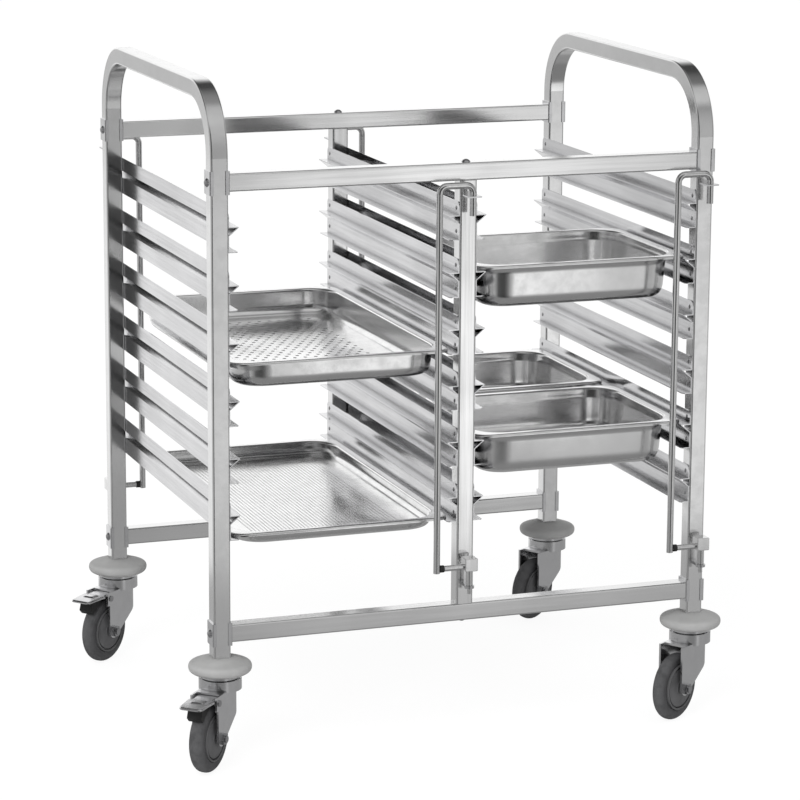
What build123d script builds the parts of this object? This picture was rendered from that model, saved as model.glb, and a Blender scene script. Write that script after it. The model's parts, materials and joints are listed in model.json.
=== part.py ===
from build123d import *
from math import cos, radians, sin, sqrt
import os

# Two-column tray trolley. Sizes are in millimetres. The origin is on the floor under the middle of the
# frame, X runs from the left end frame to the right one, -Y is the front and +Z is up.

# Square tube frame
tube_side = 25.0
tube_wall = 1.2
tube_corner = 2.5
arch_top_z = 964.0
arch_radius = 87.5
handle_rise = 121.0
low_rail_clearance = 22.0

# Saddles, bolts and threaded inserts that join the tubes
saddle_height = 33.0
saddle_base = 2.0
saddle_wrap = 4.0
saddle_wall = 1.5
bolt_radius = 4.0
bolt_head_radius = 6.5
bolt_head_height = 4.0
bolt_hole_gap = 0.2
insert_depth = 18.0
insert_gap = 0.05
bolt_tip_gap = 2.0

# Folded sheet runners and their rivets
tier_count = 6
tier_top_drop = 74.0
tier_pitch = 81.4
runner_sheet = 1.2
runner_top = 19.0
runner_end_inset = 1.5
runner_corner = 7.0
lip_corner = 4.0
ledge_clearance = 3.5
ledge_drop = 12.5
lip_drop = 34.6
lip_setback = 1.0
rivet_radius = 1.6
rivet_head_radius = 3.2
rivet_head_height = 1.3
rivet_tail_radius = 2.4
rivet_tail_length = 2.0
rivet_gap = 0.05

# Swinging stop bars and the lugs that carry them
stop_offset = 18.0
stop_rod_radius = 4.75
stop_swing = 50.0
stop_top_drop = 24.0
stop_bend = 11.0
stop_hook = 48.0
stop_foot_rise = 54.0
arm_radius = 4.2
arm_rise = 6.0
block_side = 19.0
block_rise = 4.0
block_edge = 1.0
pin_radius = 5.0
pin_length = 22.0
journal_radius = 3.0
journal_tail = 8.5
pivot_gap = 0.05
shoulder_gap = 0.2
upper_lug_sheet = 2.0
upper_lug_width = 20.0
upper_lug_reach = 8.0
upper_lug_below_bend = 4.0
lower_lug_sheet = 4.0
lower_lug_radius = 7.0
lower_lug_neck = 9.0

# Castors
wheel_diameter = 100.0
wheel_width = 30.0
tyre_depth = 16.0
tyre_edge = 8.0
core_inset = 2.0
core_dish = 3.0
core_rim = 5.0
hub_radius = 11.0
hub_gap = 0.3
trail = 40.0
wheel_side_gap = 2.5
fork_sheet = 3.0
fork_back = 24.0
fork_back_corner = 15.0
fork_back_depth = 30.0
fork_boss_radius = 11.0
fork_ear_reach = 5.0
fork_ear_depth = 21.0
crown_gap = 11.0
crown_sheet = 3.0
race_radius = 30.5
race_bore_radius = 22.0
race_height = 13.0
race_gap = 1.0
stem_plate = 4.0
stem_plate_radius = 27.0
stem_boss_radius = 21.0
stem_boss_gap = 0.3
kingpin_radius = 6.0
kingpin_head_radius = 9.0
kingpin_head_height = 3.0
stem_plug_length = 36.0
stem_plug_gap = 0.15
axle_radius = 5.0
axle_head_radius = 8.0
axle_head_height = 4.0
axle_nut_flats = 15.0
axle_nut_height = 6.0
axle_tail = 2.0
running_gap = 0.05
thread_gap = 0.02

# Rubber bumpers above the castors
bumper_radius = 45.0
bumper_height = 25.0
bumper_edge_z = 11.0
bumper_foot_radius = 29.0
bumper_shoulder_radius = 36.5
bumper_shoulder_z = 19.0
bumper_top_radius = 16.0
bumper_gap = 0.15

# Brake pedals
pedal_pin_lead = 8.0
pedal_pin_drop = 7.0
pedal_pin_radius = 3.0
pedal_pin_head_radius = 4.6
pedal_pin_head_height = 1.5
pedal_sheet = 2.0
pedal_length = 55.0
pedal_width = 41.0
pedal_neck_length = 13.0
pedal_tail_length = 6.0
pedal_ear_gap = 0.7
pedal_ear_radius = 5.5
pedal_rise = 5.0
pedal_flange = 5.0
pedal_corner = 6.0
pedal_throw = 6.0
pad_width = 22.0
pad_gap = 0.5
pad_depth = 9.0
pad_low_angle = 44.0
pad_high_angle = 70.0

# Pressed pans, and the room that the frame leaves round them
pan_width = 325.0
pan_full_length = 530.0
pan_side_gap = 6.5
pan_end_room = 30.0
pan_sheet = 1.0
pan_rim_width = 13.0
pan_rim_height = 4.0
pan_rim_roll = 2.5
pan_rim_corner = 22.0
pan_corner = 42.0
pan_draft = 5.0
pan_floor_radius = 11.0
pan_rest_gap = 0.2
pan_front_gap = 22.75
pan_rear_gap = 35.75
upper_pan_depth = 40.0
lower_pan_depth = 20.0
deep_pan_depth = 65.0

# Castor sizes that follow from the driving ones
wheel_radius = wheel_diameter / 2
core_radius = wheel_radius - tyre_depth
fork_inner = wheel_width / 2 + wheel_side_gap
fork_outer = fork_inner + fork_sheet
fork_front = trail + fork_boss_radius
fork_low_z = wheel_radius - fork_boss_radius
crown_z = wheel_diameter + crown_gap
crown_top_z = crown_z + crown_sheet
race_top_z = crown_top_z + race_height
stem_plate_z = race_top_z + race_gap
leg_foot_z = stem_plate_z + stem_plate
bumper_top_z = leg_foot_z + bumper_height
pedal_pin_x = trail + pedal_pin_lead
pedal_pin_z = crown_z - pedal_pin_drop
pedal_plate_z = pedal_pin_z + pedal_rise
pedal_ear_y = fork_inner - pedal_ear_gap
pedal_tip_x = pedal_pin_x + pedal_length
pedal_neck_x = pedal_pin_x + pedal_neck_length
pedal_tail_x = pedal_pin_x - pedal_tail_length

# Frame sizes that follow: two columns of pans between three rows of tubes, above the castors
half_tube = tube_side / 2
tube_bore = tube_side - 2 * tube_wall
bore_corner = tube_corner - tube_wall
half_x = pan_width + 2 * pan_side_gap + tube_side
half_y = (pan_full_length + pan_end_room) / 2
leg_face_x = half_x - half_tube
leg_face_y = half_y + half_tube
rail_half_length = leg_face_x - saddle_base
top_rail_z = arch_top_z - handle_rise
top_rail_axis_z = top_rail_z - half_tube
low_rail_z = bumper_top_z + low_rail_clearance + tube_side
low_rail_axis_z = low_rail_z - half_tube

# Runner, stop bar and pan places that follow from the frame
tier_z = [top_rail_z - tier_top_drop - tier * tier_pitch for tier in range(tier_count)]
ledge_reach = pan_side_gap + pan_rim_width - pan_sheet - ledge_clearance
lip_reach = ledge_reach - lip_setback
rivet_low_z = -(ledge_drop + lip_drop) / 2
rivet_high_z = runner_top / 2
stop_axis_y = -leg_face_y - stop_offset
stop_top_axis_z = top_rail_z - stop_top_drop - stop_rod_radius
stop_tip_z = stop_top_axis_z + stop_rod_radius - stop_hook
stop_foot_z = low_rail_z + stop_foot_rise
arm_z = stop_foot_z + arm_rise
block_low_z = arm_z + block_rise - block_side / 2
pin_low_z = block_low_z - pin_length
upper_lug_z = stop_top_axis_z - stop_bend - upper_lug_below_bend
lower_lug_z = pin_low_z - shoulder_gap - lower_lug_sheet
pan_half_length = pan_full_length / 2
pan_front_y = stop_axis_y + stop_rod_radius + pan_front_gap
pan_rear_y = -stop_axis_y - stop_rod_radius - pan_rear_gap
column_x = (leg_face_x + half_tube) / 2

# Corner name, side of the leg in X and Y, and the direction in which the castor trails
castors = [
    ("front_left", -1, -1, 229.0),
    ("rear_left", -1, 1, 220.0),
    ("front_right", 1, -1, 213.0),
    ("rear_right", 1, 1, 213.0),
]
braked_corners = ("front_left", "rear_left")

# Stop bar name, place of its post in X, and its turn about Z from the front bars' pose
stop_bars = [
    ("front_centre", 0.0, 0.0),
    ("front_right", half_x, 0.0),
    ("rear_left", half_x, 180.0),
    ("rear_centre", 0.0, 180.0),
]

os.makedirs("parts", exist_ok=True)


def save(part, name):
    """Labels a finished piece and writes it as its own file."""
    part.label = name
    export_step(part, f"parts/{name}.step")


def copies(part, locations):
    """The same piece at each location, as one group of separate solids."""
    with BuildPart() as group:
        with Locations(*locations):
            add(part)
    return group.part


def tube_section(plane):
    """Cross-section of the square tube, drawn on the given plane."""
    with BuildSketch(plane) as section:
        RectangleRounded(tube_side, tube_side, tube_corner)
        RectangleRounded(tube_bore, tube_bore, bore_corner, mode=Mode.SUBTRACT)
    return section.sketch


def rivet_holes(face_x, post_y):
    """Cutters for the rivet holes of every tier, through a post's wall at face_x."""
    wall_plane = Plane(origin=(face_x, post_y, 0), x_dir=(0, 1, 0), z_dir=(1, 0, 0))
    with BuildSketch(wall_plane) as holes:
        for z in tier_z:
            with Locations((0, z + rivet_high_z), (0, z + rivet_low_z)):
                Circle(rivet_radius + rivet_gap)
    return extrude(holes.sketch, amount=2 * tube_wall, both=True, mode=Mode.PRIVATE)


def end_frame(side):
    """Inverted U of square tube that makes two legs and the push handle."""
    x = side * half_x
    arch_axis_z = arch_top_z - half_tube
    with BuildPart() as frame:
        with BuildLine():
            FilletPolyline(
                (x, -half_y, leg_foot_z),
                (x, -half_y, arch_axis_z),
                (x, half_y, arch_axis_z),
                (x, half_y, leg_foot_z),
                radius=arch_radius,
            )
        sweep(sections=tube_section(Plane.XY.offset(leg_foot_z).move(Location((x, -half_y, 0)))))
        for leg_y in (-half_y, half_y):
            with BuildSketch(Plane(origin=(x, leg_y, 0), x_dir=(0, 1, 0), z_dir=(1, 0, 0))):
                with Locations((0, top_rail_axis_z), (0, low_rail_axis_z)):
                    Circle(bolt_radius + bolt_hole_gap)
            extrude(amount=tube_side, both=True, mode=Mode.SUBTRACT)
            add(rivet_holes(side * leg_face_x, leg_y), mode=Mode.SUBTRACT)
    return frame.part


def rail(y, axis_z):
    """Straight tube along X between the inner saddles, with holes for the centre post's bolt."""
    with BuildPart() as tube:
        extrude(
            tube_section(Plane(origin=(-rail_half_length, y, axis_z), x_dir=(0, 1, 0), z_dir=(1, 0, 0))),
            amount=2 * rail_half_length,
        )
        with BuildSketch(Plane.XY.offset(axis_z)):
            with Locations((0, y)):
                Circle(bolt_radius + bolt_hole_gap)
        extrude(amount=tube_side, both=True, mode=Mode.SUBTRACT)
    return tube.part


def centre_post(y):
    """Upright tube between a bottom rail and the top rail above it."""
    with BuildPart() as post:
        extrude(
            tube_section(Plane(origin=(0, y, low_rail_z))),
            amount=top_rail_z - tube_side - low_rail_z,
        )
        for face_x in (-half_tube, half_tube):
            add(rivet_holes(face_x, y), mode=Mode.SUBTRACT)
    return post.part


# Frame tubes
save(end_frame(-1), "left_end_frame")
save(end_frame(1), "right_end_frame")
save(rail(-half_y, top_rail_axis_z), "front_top_rail")
save(rail(half_y, top_rail_axis_z), "rear_top_rail")
save(rail(-half_y, low_rail_axis_z), "front_bottom_rail")
save(rail(half_y, low_rail_axis_z), "rear_bottom_rail")
save(centre_post(-half_y), "front_centre_post")
save(centre_post(half_y), "rear_centre_post")

# Saddles: a base against one side of the leg and two flanges that wrap its edges.
# The local X axis points away from the leg.
with BuildPart() as saddle:
    with BuildSketch(Plane.XY.offset(-saddle_height / 2)):
        with Locations((-saddle_wrap, 0)):
            Rectangle(
                saddle_wrap + saddle_base,
                tube_side + 2 * saddle_wall,
                align=(Align.MIN, Align.CENTER),
            )
            Rectangle(saddle_wrap, tube_side, align=(Align.MIN, Align.CENTER), mode=Mode.SUBTRACT)
    extrude(amount=saddle_height)
    fillet(saddle.edges().filter_by(Axis.Z).group_by(Axis.X)[-1], saddle_wall)
    with BuildSketch(Plane.YZ):
        Circle(bolt_radius + bolt_hole_gap)
    extrude(amount=2 * saddle_base, both=True, mode=Mode.SUBTRACT)

inner_places = []
outer_places = []
for side in (-1, 1):
    for y in (-half_y, half_y):
        for z in (low_rail_axis_z, top_rail_axis_z):
            outward = 0 if side > 0 else 180
            outer_places.append(Location((side * (half_x + half_tube), y, z), (0, 0, outward)))
            inner_places.append(Location((side * leg_face_x, y, z), (0, 0, 180 - outward)))
save(copies(saddle.part, outer_places), "outer_saddles")
save(copies(saddle.part, inner_places), "inner_saddles")


def dome_bolt(length):
    """Bolt along local Z with its shank below the origin and a domed head above it."""
    with BuildPart() as bolt:
        with BuildSketch(Plane.XZ):
            with BuildLine():
                Polyline(
                    (0, bolt_head_height),
                    (0, -length),
                    (bolt_radius, -length),
                    (bolt_radius, 0),
                    (bolt_head_radius, 0),
                )
                TangentArc((0, bolt_head_height), (bolt_head_radius, 0), tangent=(1, 0))
            make_face()
        revolve(axis=Axis.Z)
    return bolt.part


# Bolts through the legs into the rails, and through the rails into the centre posts
leg_bolt_length = 2 * saddle_base + tube_side + insert_depth - bolt_tip_gap
leg_bolt_places = []
for side in (-1, 1):
    for y in (-half_y, half_y):
        for z in (low_rail_axis_z, top_rail_axis_z):
            head_x = side * (half_x + half_tube + saddle_base)
            leg_bolt_places.append(Location((head_x, y, z), (0, side * 90, 0)))
save(copies(dome_bolt(leg_bolt_length), leg_bolt_places), "frame_bolts")

post_bolt_length = tube_side + insert_depth - bolt_tip_gap
post_bolt_places = []
for y in (-half_y, half_y):
    post_bolt_places.append(Location((0, y, top_rail_z)))
    post_bolt_places.append(Location((0, y, low_rail_z - tube_side), (180, 0, 0)))
save(copies(dome_bolt(post_bolt_length), post_bolt_places), "post_bolts")

# Threaded inserts in the ends of the rails and posts, along local Z from the tube's mouth inwards
with BuildPart() as insert:
    with BuildSketch(Plane.XY):
        RectangleRounded(
            tube_bore - 2 * insert_gap, tube_bore - 2 * insert_gap, bore_corner - insert_gap
        )
        Circle(bolt_radius + thread_gap, mode=Mode.SUBTRACT)
    extrude(amount=-insert_depth)

insert_places = []
for y in (-half_y, half_y):
    for z in (low_rail_axis_z, top_rail_axis_z):
        insert_places.append(Location((rail_half_length, y, z), (0, 90, 0)))
        insert_places.append(Location((-rail_half_length, y, z), (0, -90, 0)))
    insert_places.append(Location((0, y, top_rail_z - tube_side)))
    insert_places.append(Location((0, y, low_rail_z), (180, 0, 0)))
save(copies(insert.part, insert_places), "tube_inserts")

# Runner: one folded sheet with an upper web, a V-shaped ledge, a lower web and a bottom lip.
# Local X points from the post towards the tray, and the ledge's top is at local Z zero.
runner_half_length = leg_face_y - runner_end_inset
fold_slope = (ledge_drop - runner_sheet) / (ledge_reach - runner_sheet)
fold_rise = runner_sheet * sqrt(1 + fold_slope**2)
with BuildPart() as runner:
    with BuildSketch(Plane.XZ.offset(-runner_half_length)):
        with BuildLine():
            Polyline(
                (0, runner_top),
                (runner_sheet, runner_top),
                (runner_sheet, 0),
                (ledge_reach, 0),
                (ledge_reach, -runner_sheet),
                (runner_sheet, -ledge_drop),
                (runner_sheet, -lip_drop),
                (lip_reach, -lip_drop),
                (lip_reach, -lip_drop - runner_sheet),
                (0, -lip_drop - runner_sheet),
                (0, fold_rise - runner_sheet - fold_slope * ledge_reach),
                (ledge_reach - fold_rise / fold_slope, -runner_sheet),
                (0, -runner_sheet),
                close=True,
            )
        make_face()
    extrude(amount=2 * runner_half_length)
    fillet(runner.edges().filter_by(Axis.X).group_by(Axis.Z)[-1], runner_corner)
    fillet(runner.edges().filter_by(Axis.Z).group_by(Axis.Z)[0], lip_corner)
    with BuildSketch(Plane.YZ):
        for end_y in (-half_y, half_y):
            with Locations((end_y, rivet_high_z), (end_y, rivet_low_z)):
                Circle(rivet_radius + rivet_gap)
    extrude(amount=2 * runner_sheet, both=True, mode=Mode.SUBTRACT)

# Rivet along local X with its head on the tray side of the web
with BuildPart() as rivet:
    with BuildSketch(Plane.XZ):
        with BuildLine():
            Polyline(
                (runner_sheet + rivet_head_height, 0),
                (-tube_wall - rivet_tail_length, 0),
                (-tube_wall - rivet_tail_length, rivet_tail_radius),
                (-tube_wall, rivet_tail_radius),
                (-tube_wall, rivet_radius),
                (runner_sheet, rivet_radius),
                (runner_sheet, rivet_head_radius),
            )
            TangentArc(
                (runner_sheet + rivet_head_height, 0), (runner_sheet, rivet_head_radius), tangent=(0, 1)
            )
        make_face()
    revolve(axis=Axis.X)

runner_lines = [
    ("left_end_runners", -leg_face_x, 0),
    ("left_centre_runners", -half_tube, 180),
    ("right_centre_runners", half_tube, 0),
    ("right_end_runners", leg_face_x, 180),
]
rivet_places = []
for name, x, turn in runner_lines:
    save(copies(runner.part, [Location((x, 0, z), (0, 0, turn)) for z in tier_z]), name)
    for z in tier_z:
        for y in (-half_y, half_y):
            for rivet_z in (z + rivet_high_z, z + rivet_low_z):
                rivet_places.append(Location((x, y, rivet_z), (0, 0, turn)))
save(copies(rivet.part, rivet_places), "runner_rivets")

# Stop bar, drawn on the front of a post whose axis is at X zero: a bent rod that hooks over the
# upper lug, and a block with an arm to the rod's foot and a pin that turns in the lower lug
with BuildPart() as stop_rod:
    with BuildLine():
        FilletPolyline(
            (0, stop_axis_y, stop_tip_z),
            (0, stop_axis_y, stop_top_axis_z),
            (-stop_swing, stop_axis_y, stop_top_axis_z),
            (-stop_swing, stop_axis_y, stop_foot_z),
            radius=stop_bend,
        )
    with BuildSketch(Plane(origin=(0, stop_axis_y, stop_tip_z))):
        Circle(stop_rod_radius)
    sweep()

with BuildPart() as stop_pivot:
    with BuildSketch(Plane(origin=(0, stop_axis_y, block_low_z))):
        Rectangle(block_side, block_side)
    extrude(amount=block_side)
    chamfer(stop_pivot.edges(), block_edge)
    with BuildSketch(Plane(origin=(0, stop_axis_y, arm_z), x_dir=(0, 1, 0), z_dir=(-1, 0, 0))):
        Circle(arm_radius)
    extrude(amount=stop_swing - stop_rod_radius)
    with BuildSketch(Plane(origin=(0, stop_axis_y, block_low_z))):
        Circle(pin_radius)
    extrude(amount=-pin_length)
    with BuildSketch(Plane(origin=(0, stop_axis_y, pin_low_z))):
        Circle(journal_radius)
    extrude(amount=-(shoulder_gap + lower_lug_sheet + journal_tail))

with BuildPart() as upper_lug:
    with BuildSketch(Plane.XY.offset(upper_lug_z)):
        with Locations((0, -leg_face_y)):
            Rectangle(upper_lug_width, stop_offset + upper_lug_reach, align=(Align.CENTER, Align.MAX))
        with Locations((0, stop_axis_y)):
            Circle(stop_rod_radius + pivot_gap, mode=Mode.SUBTRACT)
    extrude(amount=-upper_lug_sheet)

with BuildPart() as lower_lug:
    with BuildSketch(Plane.XY.offset(lower_lug_z)):
        with Locations((0, -leg_face_y)):
            Rectangle(lower_lug_neck, stop_offset, align=(Align.CENTER, Align.MAX))
        with Locations((0, stop_axis_y)):
            Circle(lower_lug_radius)
            Circle(journal_radius + pivot_gap, mode=Mode.SUBTRACT)
    extrude(amount=lower_lug_sheet)

lug_places = []
for name, post_x, turn in stop_bars:
    place = Location((0, 0, 0), (0, 0, turn)) * Location((post_x, 0, 0))
    save(copies(stop_rod.part, [place]), f"{name}_stop_rod")
    save(copies(stop_pivot.part, [place]), f"{name}_stop_pivot")
    lug_places.append(place)
with BuildPart() as stop_lugs:
    with Locations(*lug_places):
        add(upper_lug.part)
        add(lower_lug.part)
save(stop_lugs.part, "stop_bar_lugs")

# Castor pieces, drawn with the swivel axis on Z and the wheel trailing along local X
axle_plane = Plane(origin=(trail, 0, wheel_radius), x_dir=(1, 0, 0), z_dir=(0, 1, 0))
wheel_section = Plane(origin=(trail, 0, wheel_radius), x_dir=(0, 1, 0), z_dir=(1, 0, 0))
wheel_axis = Axis((trail, 0, wheel_radius), (0, 1, 0))


def fork(braked):
    """Pressed fork: a channel open to the trailing side, a crown plate and the swivel race."""
    front = fork_front + (fork_ear_reach if braked else 0)
    with BuildPart() as piece:
        with BuildSketch(Plane.XY.offset(fork_low_z)) as plan:
            with Locations((-fork_back, 0)):
                Rectangle(fork_back + front, 2 * fork_outer, align=(Align.MIN, Align.CENTER))
            fillet(plan.vertices().group_by(Axis.X)[0], fork_back_corner + fork_sheet)
            with BuildSketch(Plane.XY, mode=Mode.SUBTRACT) as inside:
                with Locations((fork_sheet - fork_back, 0)):
                    Rectangle(fork_back + front, 2 * fork_inner, align=(Align.MIN, Align.CENTER))
                fillet(inside.vertices().group_by(Axis.X)[0], fork_back_corner)
        extrude(amount=crown_top_z - fork_low_z)
        with BuildSketch(Plane.XZ):
            with BuildLine():
                CenterArc((trail, wheel_radius), fork_boss_radius, 0, 360)
                Polyline(
                    (-fork_back, crown_top_z - fork_back_depth),
                    (-fork_back, crown_top_z),
                    (fork_front, crown_top_z),
                )
            make_hull()
            if braked:
                with Locations((fork_front, crown_top_z)):
                    Rectangle(fork_ear_reach, fork_ear_depth, align=(Align.MIN, Align.MAX))
        extrude(amount=fork_outer, both=True, mode=Mode.INTERSECT)
        with BuildSketch(Plane.XY.offset(crown_z)):
            Circle(race_radius)
            Rectangle(trail, 2 * fork_inner, align=(Align.MIN, Align.CENTER))
        extrude(amount=crown_sheet)
        with BuildSketch(Plane.XY.offset(crown_top_z)):
            Circle(race_radius)
            Circle(race_bore_radius, mode=Mode.SUBTRACT)
        extrude(amount=race_height)
        with BuildSketch(Plane.XY.offset(crown_z)):
            Circle(kingpin_radius + running_gap)
        extrude(amount=crown_sheet, mode=Mode.SUBTRACT)
        with BuildSketch(axle_plane):
            Circle(axle_radius + running_gap)
        extrude(amount=2 * fork_outer, both=True, mode=Mode.SUBTRACT)
        if braked:
            with BuildSketch(Plane.XZ):
                with Locations((pedal_pin_x, pedal_pin_z)):
                    Circle(pedal_pin_radius + running_gap)
            extrude(amount=2 * fork_outer, both=True, mode=Mode.SUBTRACT)
    return piece.part


plain_fork = fork(False)
braked_fork = fork(True)

with BuildPart() as axle_bolt:
    with BuildSketch(axle_plane.offset(-fork_outer)):
        Circle(axle_head_radius)
    extrude(amount=-axle_head_height)
    fillet(axle_bolt.edges().group_by(Axis.Y)[0], axle_head_height / 2)
    with BuildSketch(axle_plane.offset(-fork_outer)):
        Circle(axle_radius)
    extrude(amount=2 * fork_outer + axle_nut_height + axle_tail)

with BuildPart() as axle_nut:
    with BuildSketch(axle_plane.offset(fork_outer)):
        RegularPolygon(axle_nut_flats / 2, 6, major_radius=False)
        Circle(axle_radius + thread_gap, mode=Mode.SUBTRACT)
    extrude(amount=axle_nut_height)

with BuildPart() as tyre:
    with BuildSketch(wheel_section) as tyre_profile:
        with Locations((0, core_radius)):
            Rectangle(wheel_width, tyre_depth, align=(Align.CENTER, Align.MIN))
        fillet(tyre_profile.vertices().group_by(Axis.Y)[-1], tyre_edge)
    revolve(axis=wheel_axis)

core_half = wheel_width / 2 - core_inset
hub_half = fork_inner - hub_gap
dish_half = core_half - core_dish
with BuildPart() as core:
    with BuildSketch(wheel_section):
        with BuildLine():
            Polyline(
                (hub_half, axle_radius + running_gap),
                (hub_half, hub_radius),
                (dish_half, hub_radius + core_dish),
                (dish_half, core_radius - core_rim - core_dish),
                (core_half, core_radius - core_rim),
                (core_half, core_radius),
                (-core_half, core_radius),
                (-core_half, core_radius - core_rim),
                (-dish_half, core_radius - core_rim - core_dish),
                (-dish_half, hub_radius + core_dish),
                (-hub_half, hub_radius),
                (-hub_half, axle_radius + running_gap),
                close=True,
            )
        make_face()
    revolve(axis=wheel_axis)

# Stem: a plug in the leg, the plate the leg stands on, the boss inside the race and the kingpin
with BuildPart() as stem:
    with BuildSketch(Plane.XY.offset(leg_foot_z)):
        RectangleRounded(
            tube_bore - 2 * stem_plug_gap, tube_bore - 2 * stem_plug_gap, bore_corner - stem_plug_gap
        )
    extrude(amount=stem_plug_length)
    with BuildSketch(Plane.XY.offset(stem_plate_z)):
        Circle(stem_plate_radius)
    extrude(amount=stem_plate)
    with BuildSketch(Plane.XY.offset(crown_top_z + stem_boss_gap)):
        Circle(stem_boss_radius)
    extrude(amount=stem_plate_z - crown_top_z - stem_boss_gap)
    with BuildSketch(Plane.XY.offset(crown_top_z + stem_boss_gap)):
        Circle(kingpin_radius)
    extrude(amount=-(crown_sheet + 2 * stem_boss_gap))
    with BuildSketch(Plane.XY.offset(crown_z - stem_boss_gap)):
        Circle(kingpin_head_radius)
    extrude(amount=-kingpin_head_height)

# Bumper: a domed disc with a square hole that fits over the leg's foot
with BuildPart() as bumper:
    with BuildSketch(Plane.XZ) as bumper_profile:
        with BuildLine():
            edge_z = leg_foot_z + bumper_edge_z
            Polyline(
                (bumper_top_radius, bumper_top_z),
                (0, bumper_top_z),
                (0, leg_foot_z),
                (bumper_foot_radius, leg_foot_z),
            )
            Spline(
                (bumper_foot_radius, leg_foot_z), (bumper_radius, edge_z), tangents=((1, 0.3), (0, 1))
            )
            Spline(
                (bumper_radius, edge_z),
                (bumper_shoulder_radius, leg_foot_z + bumper_shoulder_z),
                (bumper_top_radius, bumper_top_z),
                tangents=((0, 1), (-1, 0.1)),
            )
        make_face()
    revolve(axis=Axis.Z)
    with BuildSketch(Plane.XY.offset(leg_foot_z)):
        RectangleRounded(
            tube_side + 2 * bumper_gap, tube_side + 2 * bumper_gap, tube_corner + bumper_gap
        )
    extrude(amount=bumper_height, mode=Mode.SUBTRACT)

# Brake pedal on its pin, with side flanges and two ears, and the pad under it
with BuildPart() as pedal_pin:
    with BuildSketch(Plane(origin=(pedal_pin_x, -fork_outer, pedal_pin_z), z_dir=(0, 1, 0))):
        Circle(pedal_pin_radius)
    extrude(amount=2 * fork_outer)
    for end in (-1, 1):
        with BuildSketch(Plane(origin=(pedal_pin_x, end * fork_outer, pedal_pin_z), z_dir=(0, end, 0))):
            Circle(pedal_pin_head_radius)
        extrude(amount=pedal_pin_head_height)

with BuildPart() as pedal:
    with BuildSketch(Plane.XY.offset(pedal_plate_z)) as pedal_plan:
        with Locations((pedal_tail_x, 0)):
            Rectangle(pedal_neck_x - pedal_tail_x, 2 * pedal_ear_y, align=(Align.MIN, Align.CENTER))
        with Locations((pedal_neck_x, 0)):
            Rectangle(pedal_tip_x - pedal_neck_x, pedal_width, align=(Align.MIN, Align.CENTER))
        fillet(pedal_plan.vertices().group_by(Axis.X)[-1], pedal_corner)
    extrude(amount=pedal_sheet)
    with BuildSketch(Plane.XY.offset(pedal_plate_z)):
        for end in (-1, 1):
            with Locations((pedal_neck_x, end * (pedal_width - pedal_sheet) / 2)):
                Rectangle(
                    pedal_tip_x - pedal_neck_x - pedal_corner,
                    pedal_sheet,
                    align=(Align.MIN, Align.CENTER),
                )
        with Locations((pedal_tip_x, 0)):
            Rectangle(pedal_sheet, pedal_width - 2 * pedal_corner, align=(Align.MAX, Align.CENTER))
    extrude(amount=-pedal_flange)
    for end in (-1, 1):
        with BuildSketch(Plane.XZ.offset(-end * pedal_ear_y)):
            with BuildLine():
                CenterArc((pedal_pin_x, pedal_pin_z), pedal_ear_radius, 0, 360)
                Polyline(
                    (pedal_tail_x, pedal_plate_z + pedal_sheet),
                    (pedal_pin_x + pedal_ear_radius, pedal_plate_z + pedal_sheet),
                )
            make_hull()
        extrude(amount=end * pedal_sheet)
    with BuildSketch(Plane.XZ):
        with Locations((pedal_pin_x, pedal_pin_z)):
            Circle(pedal_pin_radius + running_gap)
    extrude(amount=2 * fork_outer, both=True, mode=Mode.SUBTRACT)

# The pad's arc fits round the tyre, with its gap, when the pedal is pressed through its throw
throw = radians(pedal_throw)
from_pin_x = trail - pedal_pin_x
from_pin_z = wheel_radius - pedal_pin_z
arc_x = pedal_pin_x + from_pin_x * cos(throw) - from_pin_z * sin(throw)
arc_z = pedal_pin_z + from_pin_x * sin(throw) + from_pin_z * cos(throw)
arc_radius = wheel_radius + pad_gap
with BuildPart() as brake_pad:
    with BuildSketch(Plane.XZ):
        with BuildLine():
            pad_arc = CenterArc(
                (arc_x, arc_z), arc_radius, pad_low_angle, pad_high_angle - pad_low_angle
            )
            low_angle = radians(pad_low_angle)
            pad_toe = pad_arc @ 0 + (pad_depth * cos(low_angle), pad_depth * sin(low_angle))
            Polyline(
                pad_arc @ 1,
                ((pad_arc @ 1).X, pedal_plate_z),
                ((pad_arc @ 0).X, pedal_plate_z),
                pad_toe,
                pad_arc @ 0,
            )
        make_face()
    extrude(amount=pad_width / 2, both=True)

stem_places = []
for corner, side_x, side_y, angle in castors:
    place = Location((side_x * half_x, side_y * half_y, 0), (0, 0, angle))
    stem_places.append(Location((side_x * half_x, side_y * half_y, 0)))
    braked = corner in braked_corners
    save(copies(braked_fork if braked else plain_fork, [place]), f"{corner}_fork")
    save(copies(tyre.part, [place]), f"{corner}_tyre")
    save(copies(core.part, [place]), f"{corner}_wheel_core")
    save(
        Compound(children=[copies(axle_bolt.part, [place]), copies(axle_nut.part, [place])]),
        f"{corner}_axle",
    )
    save(copies(bumper.part, [stem_places[-1]]), f"{corner}_bumper")
    if braked:
        save(copies(pedal.part, [place]), f"{corner}_brake_pedal")
        save(copies(brake_pad.part, [place]), f"{corner}_brake_pad")
        save(copies(pedal_pin.part, [place]), f"{corner}_pedal_pin")
save(copies(stem.part, stem_places), "castor_stems")


def basin(grow, length, depth):
    """Tapered block with rounded corners and a rounded floor edge, its top at local Z zero."""
    with BuildPart() as block:
        with BuildSketch(Plane.XY):
            RectangleRounded(
                pan_width - 2 * (pan_rim_width - grow),
                length - 2 * (pan_rim_width - grow),
                pan_corner + grow,
            )
        extrude(amount=depth, dir=(0, 0, -1), taper=pan_draft)
        fillet(block.edges().group_by(Axis.Z)[0], pan_floor_radius + grow)
    return block.part


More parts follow.
